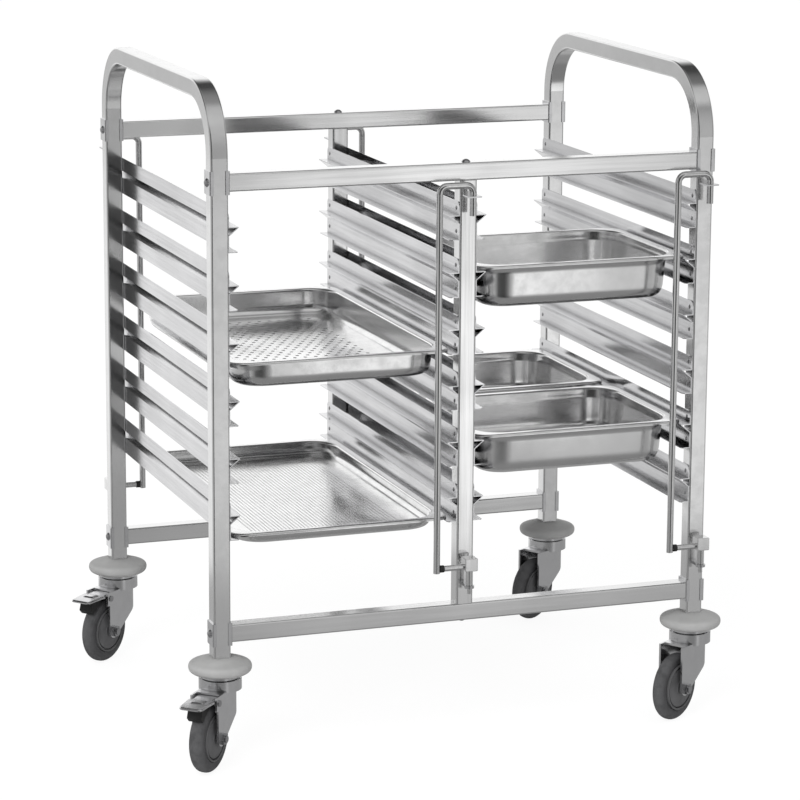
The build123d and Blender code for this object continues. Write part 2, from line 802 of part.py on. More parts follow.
def pan(length, depth):
    """Pressed pan with a flat rim and a rolled edge, its rim's top at local Z zero."""
    outside = basin(pan_sheet, length, depth)
    inside = basin(0, length, depth - pan_sheet)
    with BuildPart() as piece:
        with BuildSketch(Plane.XY):
            RectangleRounded(pan_width, length, pan_rim_corner)
        extrude(amount=-pan_sheet)
        with BuildSketch(Plane.XY):
            RectangleRounded(pan_width, length, pan_rim_corner)
            RectangleRounded(
                pan_width - 2 * pan_rim_roll,
                length - 2 * pan_rim_roll,
                pan_rim_corner - pan_rim_roll,
                mode=Mode.SUBTRACT,
            )
        extrude(amount=-pan_rim_height)
        add(outside)
        add(inside, mode=Mode.SUBTRACT)
    return piece.part


# Pans: name, middle in Y, length, depth, and the tier each rests on. The pans on the left stand on the
# bottom lips and those on the right on the V-shaped ledges.
full_pan_y = pan_front_y + pan_full_length / 2
front_pan_y = pan_front_y + pan_half_length / 2
rear_pan_y = pan_rear_y - pan_half_length / 2
left_pans = [
    ("left_upper_pan", full_pan_y, pan_full_length, upper_pan_depth, 2),
    ("left_lower_pan", full_pan_y, pan_full_length, lower_pan_depth, 5),
]
right_pans = [
    ("right_upper_pan", front_pan_y, pan_half_length, deep_pan_depth, 1),
    ("right_front_pan", front_pan_y, pan_half_length, deep_pan_depth, 4),
    ("right_rear_pan", rear_pan_y, pan_half_length, deep_pan_depth, 4),
]
for pans, x, drop in ((left_pans, -column_x, lip_drop), (right_pans, column_x, 0)):
    for name, y, length, depth, tier in pans:
        rim_z = tier_z[tier] - drop + pan_rest_gap + pan_rim_height
        save(copies(pan(length, depth), [Location((x, y, rim_z))]), name)
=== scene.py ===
"""Tray trolley: finishes for its frame, and its pans, wheels, brake pedals and stop collars as new pieces."""

import json
import math

import bpy
import numpy as np
from bpy.props import FloatProperty, FloatVectorProperty, IntProperty, PointerProperty
from mathutils import Matrix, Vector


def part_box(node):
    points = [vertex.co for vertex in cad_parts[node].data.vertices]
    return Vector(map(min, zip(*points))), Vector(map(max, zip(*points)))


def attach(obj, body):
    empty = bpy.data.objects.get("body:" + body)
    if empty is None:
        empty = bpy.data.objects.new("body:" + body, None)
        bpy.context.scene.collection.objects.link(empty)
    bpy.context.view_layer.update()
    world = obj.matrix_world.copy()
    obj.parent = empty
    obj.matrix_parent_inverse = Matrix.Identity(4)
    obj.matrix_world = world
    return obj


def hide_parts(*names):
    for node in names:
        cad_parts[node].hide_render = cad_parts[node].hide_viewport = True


bl_info = {
    "name": "Tray Trolley",
    "version": (1, 0, 0),
    "blender": (4, 5, 0),
    "location": "View3D > Sidebar > Trolley",
    "description": "Dresses the trolley's frame with its finishes, pans, wheels, pedals and stop collars",
    "category": "Object",
}

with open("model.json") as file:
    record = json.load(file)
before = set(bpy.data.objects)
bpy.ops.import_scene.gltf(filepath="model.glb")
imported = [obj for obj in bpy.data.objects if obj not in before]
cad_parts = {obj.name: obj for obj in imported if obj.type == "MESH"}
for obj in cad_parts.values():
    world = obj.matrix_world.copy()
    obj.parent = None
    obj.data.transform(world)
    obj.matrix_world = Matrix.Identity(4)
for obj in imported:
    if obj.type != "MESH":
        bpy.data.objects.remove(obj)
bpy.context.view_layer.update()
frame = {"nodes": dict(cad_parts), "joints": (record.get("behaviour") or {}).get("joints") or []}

MM = 0.001
TOUCH = 1e-6
UP = np.array([0.0, 0.0, 1.0])
WHITE = (1.0, 1.0, 1.0, 1.0)
CORNERS = ("front_left", "rear_left", "front_right", "rear_right")
BRAKED_CORNERS = ("front_left", "rear_left")
STOP_BARS = ("front_centre", "front_right", "rear_left", "rear_centre")
PANS = ("left_upper_pan", "left_lower_pan", "right_upper_pan", "right_front_pan", "right_rear_pan")
SIDES = ((1, 1), (-1, 1), (-1, -1), (1, -1))
IMAGE_SIDE = 800
SENSOR_WIDTH = 36.0
joints = {joint["name"]: joint for joint in frame["joints"]}


# Settings

class PanSizes(bpy.types.PropertyGroup):
    """Sizes of the pressed pans that their solids don't give."""

    sheet: FloatProperty(
        name="Sheet", description="Thickness of the pressed sheet", default=0.001, unit="LENGTH")
    rim_width: FloatProperty(
        name="Rim width", description="From the outer edge to the wall", default=0.013, unit="LENGTH")
    hem_height: FloatProperty(
        name="Hem height", description="Height of the turned-down edge", default=0.004, unit="LENGTH")
    roll_radius: FloatProperty(
        name="Roll radius", description="Bend from the rim to the hem", default=0.0025, unit="LENGTH")
    shoulder_radius: FloatProperty(
        name="Shoulder radius", description="Bend from the rim to the wall", default=0.003, unit="LENGTH")
    rim_corner: FloatProperty(
        name="Rim corner", description="Corner radius at the outer edge", default=0.025, unit="LENGTH")
    wall_corner: FloatProperty(
        name="Wall corner", description="Corner radius at the wall's top", default=0.050, unit="LENGTH")
    draft: FloatProperty(
        name="Draft", description="Lean of the walls", default=math.radians(5.0), subtype="ANGLE")
    floor_radius: FloatProperty(
        name="Floor radius", description="Least bend from the wall to the floor", default=0.011,
        unit="LENGTH")
    deep_floor_radius: FloatProperty(
        name="Deep floor radius", description="Largest bend from the wall to the floor", default=0.016,
        unit="LENGTH")
    floor_share: FloatProperty(
        name="Floor share", description="Bend to the floor as a share of the depth", default=0.34,
        min=0.0, max=0.8)
    step_depth: FloatProperty(
        name="Step depth", description="How far the stacking step goes in", default=0.0014, unit="LENGTH")
    step_drop: FloatProperty(
        name="Step drop", description="Stacking step's place under the rim", default=0.008, unit="LENGTH")
    step_height: FloatProperty(
        name="Step height", description="Height of the stacking step", default=0.0025, unit="LENGTH")
    step_from: FloatProperty(
        name="Step from", description="Depth from which a pan has a step", default=0.05, unit="LENGTH")
    corner_steps: IntProperty(
        name="Corner steps", description="Points round each corner", default=14, min=4)


class PerforationSizes(bpy.types.PropertyGroup):
    """Round holes in the floors of the two full-length pans."""

    wide_pitch: FloatProperty(
        name="Wide pitch", description="Hole pitch in the upper pan", default=0.016, unit="LENGTH")
    wide_hole: FloatProperty(
        name="Wide hole", description="Hole radius in the upper pan", default=0.0029, unit="LENGTH")
    wide_border: FloatProperty(
        name="Wide border", description="Plain floor round the upper pan's holes", default=0.0165,
        unit="LENGTH")
    fine_pitch: FloatProperty(
        name="Fine pitch", description="Hole pitch in the lower pan", default=0.0056, unit="LENGTH")
    fine_hole: FloatProperty(
        name="Fine hole", description="Hole radius in the lower pan", default=0.0015, unit="LENGTH")
    fine_border: FloatProperty(
        name="Fine border", description="Plain floor round the lower pan's holes", default=0.0215,
        unit="LENGTH")


class CastorSizes(bpy.types.PropertyGroup):
    """Sizes of the wheels and pedals that their solids don't give."""

    tread_crown: FloatProperty(
        name="Tread crown", description="Rise of the tread's middle", default=0.0012, unit="LENGTH")
    shoulder: FloatProperty(
        name="Shoulder", description="Radius of the tyre's shoulders", default=0.008, unit="LENGTH")
    seat_edge: FloatProperty(
        name="Seat edge", description="Radius of the tyre's inner edges", default=0.0015, unit="LENGTH")
    groove_radius: FloatProperty(
        name="Groove radius", description="Radius of the groove in the core", default=0.0315, unit="LENGTH")
    groove_width: FloatProperty(
        name="Groove width", description="Width of that groove", default=0.0022, unit="LENGTH")
    groove_depth: FloatProperty(
        name="Groove depth", description="Depth of that groove", default=0.003, unit="LENGTH")
    turn_steps: IntProperty(
        name="Turn steps", description="Points round a wheel", default=96, min=24)
    pedal_sheet: FloatProperty(
        name="Pedal sheet", description="Thickness of the pressed pedal", default=0.0015, unit="LENGTH")
    pedal_edge: FloatProperty(
        name="Pedal edge", description="How far the pedal's edge turns down", default=0.0015, unit="LENGTH")
    pedal_droop: FloatProperty(
        name="Pedal droop", description="How far the pedal's tip bends down", default=0.0012, unit="LENGTH")
    pedal_boss: FloatProperty(
        name="Pedal boss", description="Height of the raised place on the pedal", default=0.0014,
        unit="LENGTH")


class FinishColours(bpy.types.PropertyGroup):
    """Base colours of the finishes."""

    tube: FloatVectorProperty(
        name="Tube", description="Polished square tube", default=(0.84, 0.84, 0.84), subtype="COLOR")
    # Painted light: the top rails are the same steel as the tube, given a lighter colour for the light they
    # catch.
    painted_light_rail: FloatVectorProperty(
        name="Rail", description="Polished top rails", default=(0.92, 0.92, 0.92), subtype="COLOR")
    sheet: FloatVectorProperty(
        name="Sheet", description="Runner and saddle sheet", default=(0.74, 0.74, 0.75), subtype="COLOR")
    pan: FloatVectorProperty(
        name="Pan", description="Bright pressed pans", default=(0.92, 0.92, 0.92), subtype="COLOR")
    fastener: FloatVectorProperty(
        name="Fastener", description="Bolts and rivets", default=(0.50, 0.50, 0.51), subtype="COLOR")
    zinc: FloatVectorProperty(
        name="Zinc", description="Plated castor pressings", default=(0.84, 0.84, 0.85), subtype="COLOR")
    pedal: FloatVectorProperty(
        name="Pedal", description="Bright pressed pedals", default=(0.74, 0.74, 0.75), subtype="COLOR")
    bumper: FloatVectorProperty(
        name="Bumper", description="Grey bumper rubber", default=(0.39, 0.39, 0.387), subtype="COLOR")
    tyre: FloatVectorProperty(
        name="Tyre", description="Grey tyre rubber", default=(0.070, 0.070, 0.073), subtype="COLOR")
    tread: FloatVectorProperty(
        name="Tread", description="Scuffed tread", default=(0.105, 0.105, 0.108), subtype="COLOR")
    core: FloatVectorProperty(
        name="Core", description="Dark wheel core", default=(0.105, 0.105, 0.108), subtype="COLOR")
    pad: FloatVectorProperty(
        name="Pad", description="Black pads and collars", default=(0.015, 0.015, 0.015), subtype="COLOR")


class StageSettings(bpy.types.PropertyGroup):
    """Camera, floor and light."""

    azimuth: FloatProperty(
        name="Azimuth", description="Camera's turn about Z", default=math.radians(-19.77), subtype="ANGLE")
    elevation: FloatProperty(
        name="Elevation", description="Camera's height angle", default=math.radians(12.46), subtype="ANGLE")
    roll: FloatProperty(
        name="Roll", description="Camera's turn about its view", default=math.radians(0.33), subtype="ANGLE")
    distance: FloatProperty(
        name="Distance", description="From the target to the camera", default=4.86677, unit="LENGTH")
    target: FloatVectorProperty(
        name="Target", description="Point in the image's middle", default=(-0.00768, -0.03438, 0.45018),
        subtype="XYZ")
    focal_pixels: FloatProperty(
        name="Focal length", description="In pixels of the square image", default=3257.72)
    floor_side: FloatProperty(
        name="Floor side", description="Side of the floor", default=40.0, unit="LENGTH")


# Surfaces

def unit(vector):
    """A vector of length one."""
    return vector / np.linalg.norm(vector)


def smooth(value):
    """0 below 0, 1 above 1, and three squares less two cubes between."""
    value = np.clip(value, 0.0, 1.0)
    return value * value * (3.0 - 2.0 * value)


def node_box(node):
    """The lowest and the highest corner of a solid."""
    return [np.array(corner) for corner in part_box(node)]


def joint_place(name):
    """A joint's point in the frame."""
    return np.array(joints[name]["pos_m"], dtype=float)


def arc(centre, radius, start, end, count):
    """Points on a circle about a centre, at angles in degrees spaced evenly from start to end."""
    angle = np.radians(np.linspace(start, end, count))
    return np.stack([centre[0] + radius * np.cos(angle), centre[1] + radius * np.sin(angle)], axis=1)


def grid_faces(rows, cols, wrap_rows=False, wrap_cols=False):
    """Quads of a grid of points: each joins two neighbours in a row to the same two in the next row."""
    i = np.arange(rows if wrap_rows else rows - 1)[:, None]
    j = np.arange(cols if wrap_cols else cols - 1)[None, :]
    here, below = i * cols, (i + 1) % rows * cols
    across = (j + 1) % cols
    return np.stack([here + j, here + across, below + across, below + j], axis=-1).reshape(-1, 4)


def weld(points, faces):
    """Merges points that lie within a micrometre and renumbers the faces."""
    keys = np.round(points * 1e6).astype(np.int64)
    _, first, place = np.unique(keys, axis=0, return_index=True, return_inverse=True)
    place = place.reshape(-1)
    return points[first], [place[face] for face in faces]


def facing_out(points, faces):
    """Turns the faces round if the volume they enclose, summed over fans of triangles, is negative."""
    volume = 0.0
    for face in faces:
        corners = points[face]
        for k in range(1, face.shape[1] - 1):
            volume += np.einsum(
                "ij,ij->", corners[:, 0], np.cross(corners[:, k], corners[:, k + 1]))
    return faces if volume > 0 else [face[:, ::-1] for face in faces]


def make_piece(name, points, faces, finish, sharp=40.0, attributes=None):
    """A mesh object from points and lists of faces, smooth except where it bends by more than an angle."""
    mesh = bpy.data.meshes.new(name)
    corners = [face.tolist() for group in faces for face in group]
    mesh.from_pydata(points.tolist(), [], corners)
    for label, values in (attributes or {}).items():
        layer = mesh.attributes.new(label, "FLOAT", "POINT")
        layer.data.foreach_set("value", np.asarray(values, dtype=np.float32))
    mesh.polygons.foreach_set("use_smooth", np.ones(len(mesh.polygons), dtype=bool))
    mesh.set_sharp_from_angle(angle=math.radians(sharp))
    mesh.materials.append(finish)
    mesh.validate()
    piece = bpy.data.objects.new(name, mesh)
    bpy.context.scene.collection.objects.link(piece)
    return piece


def stand_for(piece, node, body):
    """The piece takes the place of a solid and moves with its body."""
    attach(piece, body)
    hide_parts(node)


def turned(profile, centre, axis, steps):
    """A closed profile of (radius, offset) points turned about a level axis.

    At turn t a point is centre + offset axis + radius (cos t up + sin t third), where third is square to
    the axis and to up.
    """
    third = np.cross(axis, UP)
    turn = np.linspace(0, 2 * np.pi, steps, endpoint=False)
    spoke = np.cos(turn)[:, None] * UP + np.sin(turn)[:, None] * third
    points = centre + profile[None, :, 1, None] * axis + profile[None, :, 0, None] * spoke[:, None, :]
    points = points.reshape(-1, 3)
    faces = [grid_faces(steps, len(profile), wrap_rows=True, wrap_cols=True)]
    return points, facing_out(points, faces)


CORNER_EASE = 0.85


def rounded_rectangles(half_x, half_y, inset, radius, height, steps):
    """Rings round a rectangle: each ring is inset by its own amount and has its own corner radius and height.

    Four quarter turns, about the corners of the inset rectangle moved in by the radius, are joined by
    straight sides. Each is a circle's cosine and sine raised to a power under one, so that the bend starts
    softly, as in a deep-drawn sheet.
    """
    quarter = np.linspace(0, np.pi / 2, steps)
    angle = (quarter[None, :] + np.arange(4)[:, None] * np.pi / 2).ravel()
    sign = np.repeat(np.array(SIDES), steps, axis=0)
    inset, radius, height = (np.asarray(value)[:, None] for value in (inset, radius, height))
    along, across = (np.sign(turn) * np.abs(turn) ** CORNER_EASE for turn in (
        np.round(np.cos(angle), 12), np.round(np.sin(angle), 12)))
    x = sign[:, 0] * (half_x - inset - radius) + radius * along
    y = sign[:, 1] * (half_y - inset - radius) + radius * across
    return np.stack([x, y, np.broadcast_to(height, x.shape)], axis=-1)


def offset_profile(profile, distance):
    """A profile moved sideways by a distance, to the right of its direction of travel at each point."""
    step = np.gradient(profile, axis=0)
    step /= np.linalg.norm(step, axis=1, keepdims=True)
    return profile + distance * np.stack([step[:, 1], -step[:, 0]], axis=1)


# Finishes

class Nodes:
    """A node tree that is filled node by node."""

    def __init__(self, tree):
        self.tree = tree

    def add(self, kind, inputs=(), **settings):
        """Adds a node with its settings and feeds its inputs."""
        node = self.tree.nodes.new(kind)
        for key, value in settings.items():
            setattr(node, key, value)
        self.feed(node, inputs)
        return node

    def feed(self, node, inputs):
        """Sets a node's inputs, each to a constant or to another node's output."""
        for socket, value in dict(inputs).items():
            if isinstance(value, bpy.types.NodeSocket):
                self.tree.links.new(value, node.inputs[socket])
            else:
                node.inputs[socket].default_value = value

    def maths(self, operation, *values):
        """The result of one arithmetic node."""
        return self.add("ShaderNodeMath", enumerate(values), operation=operation).outputs[0]

    def ramp(self, value, low, high, to_low=0.0, to_high=1.0, eased=True):
        """A value carried from one range to another, held at its ends."""
        kind = "SMOOTHSTEP" if eased else "LINEAR"
        return self.add("ShaderNodeMapRange", {
            "Value": value, "From Min": low, "From Max": high, "To Min": to_low, "To Max": to_high,
        }, interpolation_type=kind).outputs[0]

    def stops(self, value, low, high, levels):
        """A number read from a ramp: levels are pairs of a value between low and high, and its result."""
        node = self.add("ShaderNodeValToRGB", {0: self.ramp(value, low, high, eased=False)})
        elements = node.color_ramp.elements
        elements.remove(elements[-1])
        elements[0].position = 0.0
        elements[0].color = (*[levels[0][1]] * 3, 1.0)
        for place, level in levels[1:]:
            element = elements.new((place - low) / (high - low))
            element.color = (level, level, level, 1.0)
        return node.outputs[0]

    def blend(self, factor, first, second):
        """A number between two others."""
        return self.add("ShaderNodeMix", {2: first, 3: second, 0: factor}, data_type="FLOAT").outputs[0]

    def tint(self, factor, first, second):
        """A colour between two others."""
        return self.add("ShaderNodeMix", {6: first, 7: second, 0: factor}, data_type="RGBA").outputs[2]

    def noise(self, vector, scale, detail=2.0, roughness=0.5):
        """Smooth noise from 0 to 1."""
        return self.add("ShaderNodeTexNoise", {
            "Vector": vector, "Scale": scale, "Detail": detail, "Roughness": roughness}).outputs[0]

    def bump(self, height, strength, distance, under=None):
        """A normal bent by a height, on top of another bump's normal if one is given."""
        inputs = {"Strength": strength, "Distance": distance, "Height": height}
        if under is not None:
            inputs["Normal"] = under
        return self.add("ShaderNodeBump", inputs).outputs[0]

    def white(self, kind, strength):
        """A white background or emission of a strength."""
        return self.add(kind, {"Color": WHITE, "Strength": strength}).outputs[0]

    def shaders(self, factor, first, second):
        """A shader between two others."""
        return self.add("ShaderNodeMixShader", {0: factor, 1: first, 2: second}).outputs[0]


def emptied(owner):
    """The nodes of a material or world, with those it starts with removed."""
    owner.use_nodes = True
    owner.node_tree.nodes.clear()
    return Nodes(owner.node_tree)


def new_finish(name):
    """A material, its nodes, its shader and its object coordinates."""
    material = bpy.data.materials.new(name)
    material.use_nodes = True
    nodes = Nodes(material.node_tree)
    shader = material.node_tree.nodes["Principled BSDF"]
    place = nodes.add("ShaderNodeTexCoord").outputs["Object"]
    return material, nodes, shader, place


def shade(colour, factor):
    """A colour made darker or lighter, with its alpha."""
    return (*(min(channel * factor, 1.0) for channel in colour), 1.0)


GRAIN = {
    "X": (5.0, 220.0, 220.0), "Y": (220.0, 5.0, 220.0), "Z": (220.0, 220.0, 5.0), "": (60.0, 60.0, 60.0)}


def steel(name, colour, roughness, grain="", wave=0.0001, wave_scale=12.0, contrast=0.05, painted_shade=0.0,
          painted_shade_reach=0.012):
    """Stainless steel: noise drawn out along the grain streaks it, and slow noise bends its reflections.

    The last two settings paint shade into narrow hollows and folds: where ambient occlusion finds the
    object's own surface close, the base colour is darkened.
    """
    material, nodes, shader, place = new_finish(name)
    drawn = nodes.add("ShaderNodeMapping", {"Vector": place, "Scale": GRAIN[grain]}).outputs[0]
    streak = nodes.noise(drawn, 1.0, detail=4.0, roughness=0.6)
    cloud = nodes.noise(place, 7.0, detail=3.0)
    mark = nodes.ramp(nodes.maths("ADD", streak, nodes.maths("MULTIPLY", cloud, 0.8)), 0.55, 1.25)
    base = nodes.tint(mark, shade(colour, 1.0 - contrast), shade(colour, 1.0 + contrast))
    if painted_shade:
        # Painted shade: ambient occlusion darkens the base colour in hollows, folds and holes.
        occlusion = nodes.add(
            "ShaderNodeAmbientOcclusion", {"Distance": painted_shade_reach}, samples=6, only_local=True)
        shade_darkening = nodes.ramp(occlusion.outputs["AO"], 0.15, 0.75, 1.0 - painted_shade, 1.0)
        base = nodes.add("ShaderNodeMix", {0: 1.0, 6: base, 7: shade_darkening}, data_type="RGBA",
                         blend_type="MULTIPLY").outputs[2]
    swell = nodes.bump(nodes.noise(place, wave_scale, detail=1.0), 1.0, wave)
    nodes.feed(shader, {
        "Metallic": 1.0,
        "Base Color": base,
        "Roughness": nodes.ramp(mark, 0.0, 1.0, roughness * 1.2, roughness * 0.8),
        "Normal": nodes.bump(streak, 0.1, 0.00003, swell),
    })
    return material


def rubber(name, colour, roughness, speck=500.0, mottle=0.12):
    """Moulded rubber or plastic: mottled by slow noise, with a fine pebbled skin."""
    material, nodes, shader, place = new_finish(name)
    cloud = nodes.noise(place, 38.0, detail=4.0, roughness=0.6)
    mark = nodes.ramp(cloud, 0.3, 0.7)
    nodes.feed(shader, {
        "Base Color": nodes.tint(mark, shade(colour, 1.0 - mottle), shade(colour, 1.0 + mottle)),
        "Roughness": nodes.ramp(cloud, 0.25, 0.75, roughness, roughness * 0.85),
        "Normal": nodes.bump(nodes.noise(place, speck), 0.25, 0.0002),
    })
    return material


def scuffed_tyre(name, colour, worn, roughness):
    """Tyre rubber whose tread, marked by an attribute, is paler and speckled where it has run."""
    material, nodes, shader, place = new_finish(name)
    tread = nodes.add("ShaderNodeAttribute", attribute_name="tread").outputs["Fac"]
    cloud = nodes.noise(place, 55.0, detail=5.0, roughness=0.65)
    speck = nodes.noise(place, 420.0, detail=3.0, roughness=0.6)
    scuff = nodes.maths("MULTIPLY", nodes.ramp(tread, 0.35, 0.95), nodes.ramp(cloud, 0.30, 0.62))
    scuff = nodes.maths("MULTIPLY", scuff, nodes.ramp(speck, 0.32, 0.60, 0.55, 1.0))
    side = nodes.tint(nodes.ramp(cloud, 0.3, 0.7), shade(colour, 0.88), shade(colour, 1.12))
    nodes.feed(shader, {
        "Base Color": nodes.tint(scuff, side, shade(worn, 1.0)),
        "Roughness": nodes.ramp(scuff, 0.0, 1.0, roughness, 0.9),
        "Normal": nodes.bump(speck, 0.4, 0.0003),
    })
    return material


def dress(node, finish):
    """Gives a solid its finish."""
    mesh = frame["nodes"][node].data
    mesh.materials.clear()
    mesh.materials.append(finish)


# Pans

BEND_REACH, BEND_PULL = 1.15, 0.72


def soft_bend(start, corner, end, count):
    """A cubic curve from start to end that leaves and arrives along the lines to the corner between them.

    At share t a point is start, end and two handles weighted by the cubic Bernstein polynomials, with each
    handle the same part of the way to the corner. It bends most in its middle and starts and ends softly.
    """
    start, corner, end = (np.array(point, dtype=float) for point in (start, corner, end))
    first, second = (point + BEND_PULL * (corner - point) for point in (start, end))
    t = np.linspace(0.0, 1.0, count)[:, None]
    return start * (1 - t)**3 + 3 * first * t * (1 - t)**2 + 3 * second * t**2 * (1 - t) + end * t**3


def pan_profile(sizes, depth):
    """(inset, height) along a pan's inner face, from the hem over the rim and down the wall to the floor.

    A quarter circle rolls the hem into the flat rim, another turns the rim into the wall, the wall leans in
    by its draft and steps in a little under the rim, and a soft bend turns it into the floor.
    """
    lean = math.degrees(sizes.draft)
    slope = math.tan(sizes.draft)
    roll = arc((sizes.roll_radius, -sizes.roll_radius), sizes.roll_radius, 180, 90, 5)
    hem = np.array([[0.0, -sizes.hem_height]])
    shoulder_centre = (sizes.rim_width - sizes.shoulder_radius, -sizes.shoulder_radius)
    shoulder = arc(shoulder_centre, sizes.shoulder_radius, 90, lean, 6)
    floor_z = sizes.sheet - depth
    bend_radius = min(max(sizes.floor_share * depth, sizes.floor_radius), sizes.deep_floor_radius)
    bend_z = floor_z + BEND_REACH * bend_radius
    step_in = sizes.step_depth if depth > sizes.step_from else 0.0
    wall_z = np.linspace(shoulder[-1, 1], bend_z, 14)[1:-1]
    share = smooth((-wall_z - sizes.step_drop) / sizes.step_height)
    wall_x = shoulder[-1, 0] + (shoulder[-1, 1] - wall_z) * slope + step_in * share
    bend_x = shoulder[-1, 0] + (shoulder[-1, 1] - bend_z) * slope + step_in
    bend_corner = bend_x + (bend_z - floor_z) * slope
    reach = (bend_z - floor_z) / math.cos(sizes.draft)
    bend = soft_bend((bend_x, bend_z), (bend_corner, floor_z), (bend_corner + reach, floor_z), 13)
    return np.concatenate([hem, roll, shoulder, np.stack([wall_x, wall_z], axis=1), bend])


HOLE_COLLAR_WALL, HOLE_COLLAR_DROP = 0.5 * MM, 2.2 * MM
CELL_SQUARE = np.array([
    (0.5, 0.0), (0.5, 0.5), (0.0, 0.5), (-0.5, 0.5), (-0.5, 0.0), (-0.5, -0.5), (0.0, -0.5), (0.5, -0.5)])
CELL_BRICK = np.array([
    (0.5, 0.0), (0.5, 0.5), (0.25, 0.5), (0.0, 0.5), (-0.25, 0.5), (-0.5, 0.5),
    (-0.5, 0.0), (-0.5, -0.5), (-0.25, -0.5), (0.0, -0.5), (0.25, -0.5), (0.5, -0.5)])
HALF_BRICK = np.array([
    (0.5, 0.0), (0.5, 0.5), (0.25, 0.5), (0.0, 0.5), (0.0, 0.0), (0.0, -0.5), (0.25, -0.5), (0.5, -0.5)])


def holed_cells(centres, cell, hole, outline, thickness, collar=0.0):
    """Square cells of sheet with a round hole in each.

    The outline's points, given in cell widths, are scaled to the cell's edge, and the hole's points lie
    towards them at the hole's radius. Rings of quads join edge to hole above and below, and line the hole,
    which may be pressed down into a collar.
    """
    edge = outline * cell
    spoke = edge / np.linalg.norm(edge, axis=1, keepdims=True)
    bore, outside = hole * spoke, (hole + HOLE_COLLAR_WALL) * spoke
    rings = [(edge, 0.0), (bore, 0.0), (bore, -thickness - collar)]
    if collar:
        rings += [(outside, -thickness - collar), (outside, -thickness)]
    rings += [(edge, -thickness)]
    template = np.concatenate([np.insert(ring, 2, height, axis=1) for ring, height in rings])
    faces = grid_faces(len(rings), len(outline), wrap_cols=True)
    shift = np.concatenate([centres, np.zeros((len(centres), 1))], axis=1)
    points = (shift[:, None, :] + template[None]).reshape(-1, 3)
    offsets = np.arange(len(centres))[:, None, None] * len(template)
    return points, (faces[None] + offsets).reshape(-1, 4)


def cell_row(half, pitch):
    """Middles of as many cells of a pitch as fit between minus half and half, placed evenly about zero."""
    count = int(2 * half / pitch)
    return (np.arange(count) - (count - 1) / 2) * pitch


def cell_places(x, y):
    """Middles of cells at every pair of a value of x and a value of y."""
    return np.stack(np.meshgrid(x, y), axis=-1).reshape(-1, 2)


def straight_holes(half_x, half_y, pitch, hole, thickness):
    """A sheet with holes in straight rows: equal square cells side by side, as many as fit."""
    x, y = cell_row(half_x, pitch), cell_row(half_y, pitch)
    points, faces = holed_cells(cell_places(x, y), np.array([pitch, pitch]), hole, CELL_SQUARE, thickness)
    return points, [faces], (len(x) * pitch / 2, len(y) * pitch / 2)


def staggered_holes(half_x, half_y, pitch, hole, thickness):
    """A sheet with holes at the corners of equal triangles.

    Rows of cells lie half the square root of three of the pitch apart. Every other row is moved by half a
    pitch and ends in plain half cells.
    """
    row_pitch = pitch * math.sqrt(3) / 2
    x, y = cell_row(half_x, pitch), cell_row(half_y, row_pitch)
    moved = y[1::2]
    centres = np.concatenate([cell_places(x, y[::2]), cell_places(x[:-1] + pitch / 2, moved)])
    points, faces = holed_cells(
        centres, np.array([pitch, row_pitch]), hole, CELL_BRICK, thickness, HOLE_COLLAR_DROP)
    end = len(x) * pitch / 2
    blanks, sides = [], []
    for sign in (1, -1):
        loop = HALF_BRICK * [sign * pitch, row_pitch] + [sign * (end - pitch / 2), 0.0]
        loops = loop[None, ::sign] + np.stack([np.zeros(len(moved)), moved], axis=1)[:, None, :]
        for height, way in ((0.0, 1), (-thickness, -1)):
            blanks.append(np.insert(loops[:, ::way], 2, height, axis=2).reshape(-1, 3))
            sides.append(np.arange(loops.shape[0] * loops.shape[1]).reshape(loops.shape[:2]))
    starts = np.cumsum([len(points)] + [len(blank) for blank in blanks])
    groups = [faces] + [side + start for side, start in zip(sides, starts)]
    return np.concatenate([points] + blanks), groups, (end, len(y) * row_pitch / 2)


def plain_border(points, ring, zone, height, upward):
    """Flat faces between a rounded ring and a rectangle inside it: a fan at each corner, a face at each side.

    The ring's points come in four runs, one a corner. The zone's own edge points are found by their place.
    """
    half_x, half_y = zone
    level = np.abs(points[:, 2] - height) < TOUCH
    steps = len(ring) // 4
    corner_of, faces = [], []
    for side_x, side_y in SIDES:
        gap = np.abs(points[:, :2] - [side_x * half_x, side_y * half_y]).max(axis=1)
        corner_of.append(int(np.flatnonzero(level & (gap < TOUCH))[0]))
    for k in range(4):
        run = ring[k * steps:(k + 1) * steps]
        faces += [np.array([[run[i], run[i + 1], corner_of[k]]]) for i in range(steps - 1)]
        axis = (k + 1) % 2
        limit = (half_y, -half_x, -half_y, half_x)[k]
        along = 1 - axis
        edge = np.flatnonzero(level & (np.abs(points[:, axis] - limit) < TOUCH))
        inside = np.abs(points[edge][:, along]) <= (half_x, half_y)[along] + TOUCH
        edge = edge[inside]
        edge = edge[np.argsort(points[edge][:, along])]
        edge = edge if k < 2 else edge[::-1]
        faces.append(np.concatenate([[run[-1], ring[(k + 1) * steps % len(ring)]], edge])[None])
    return faces if upward else [face[:, ::-1] for face in faces]


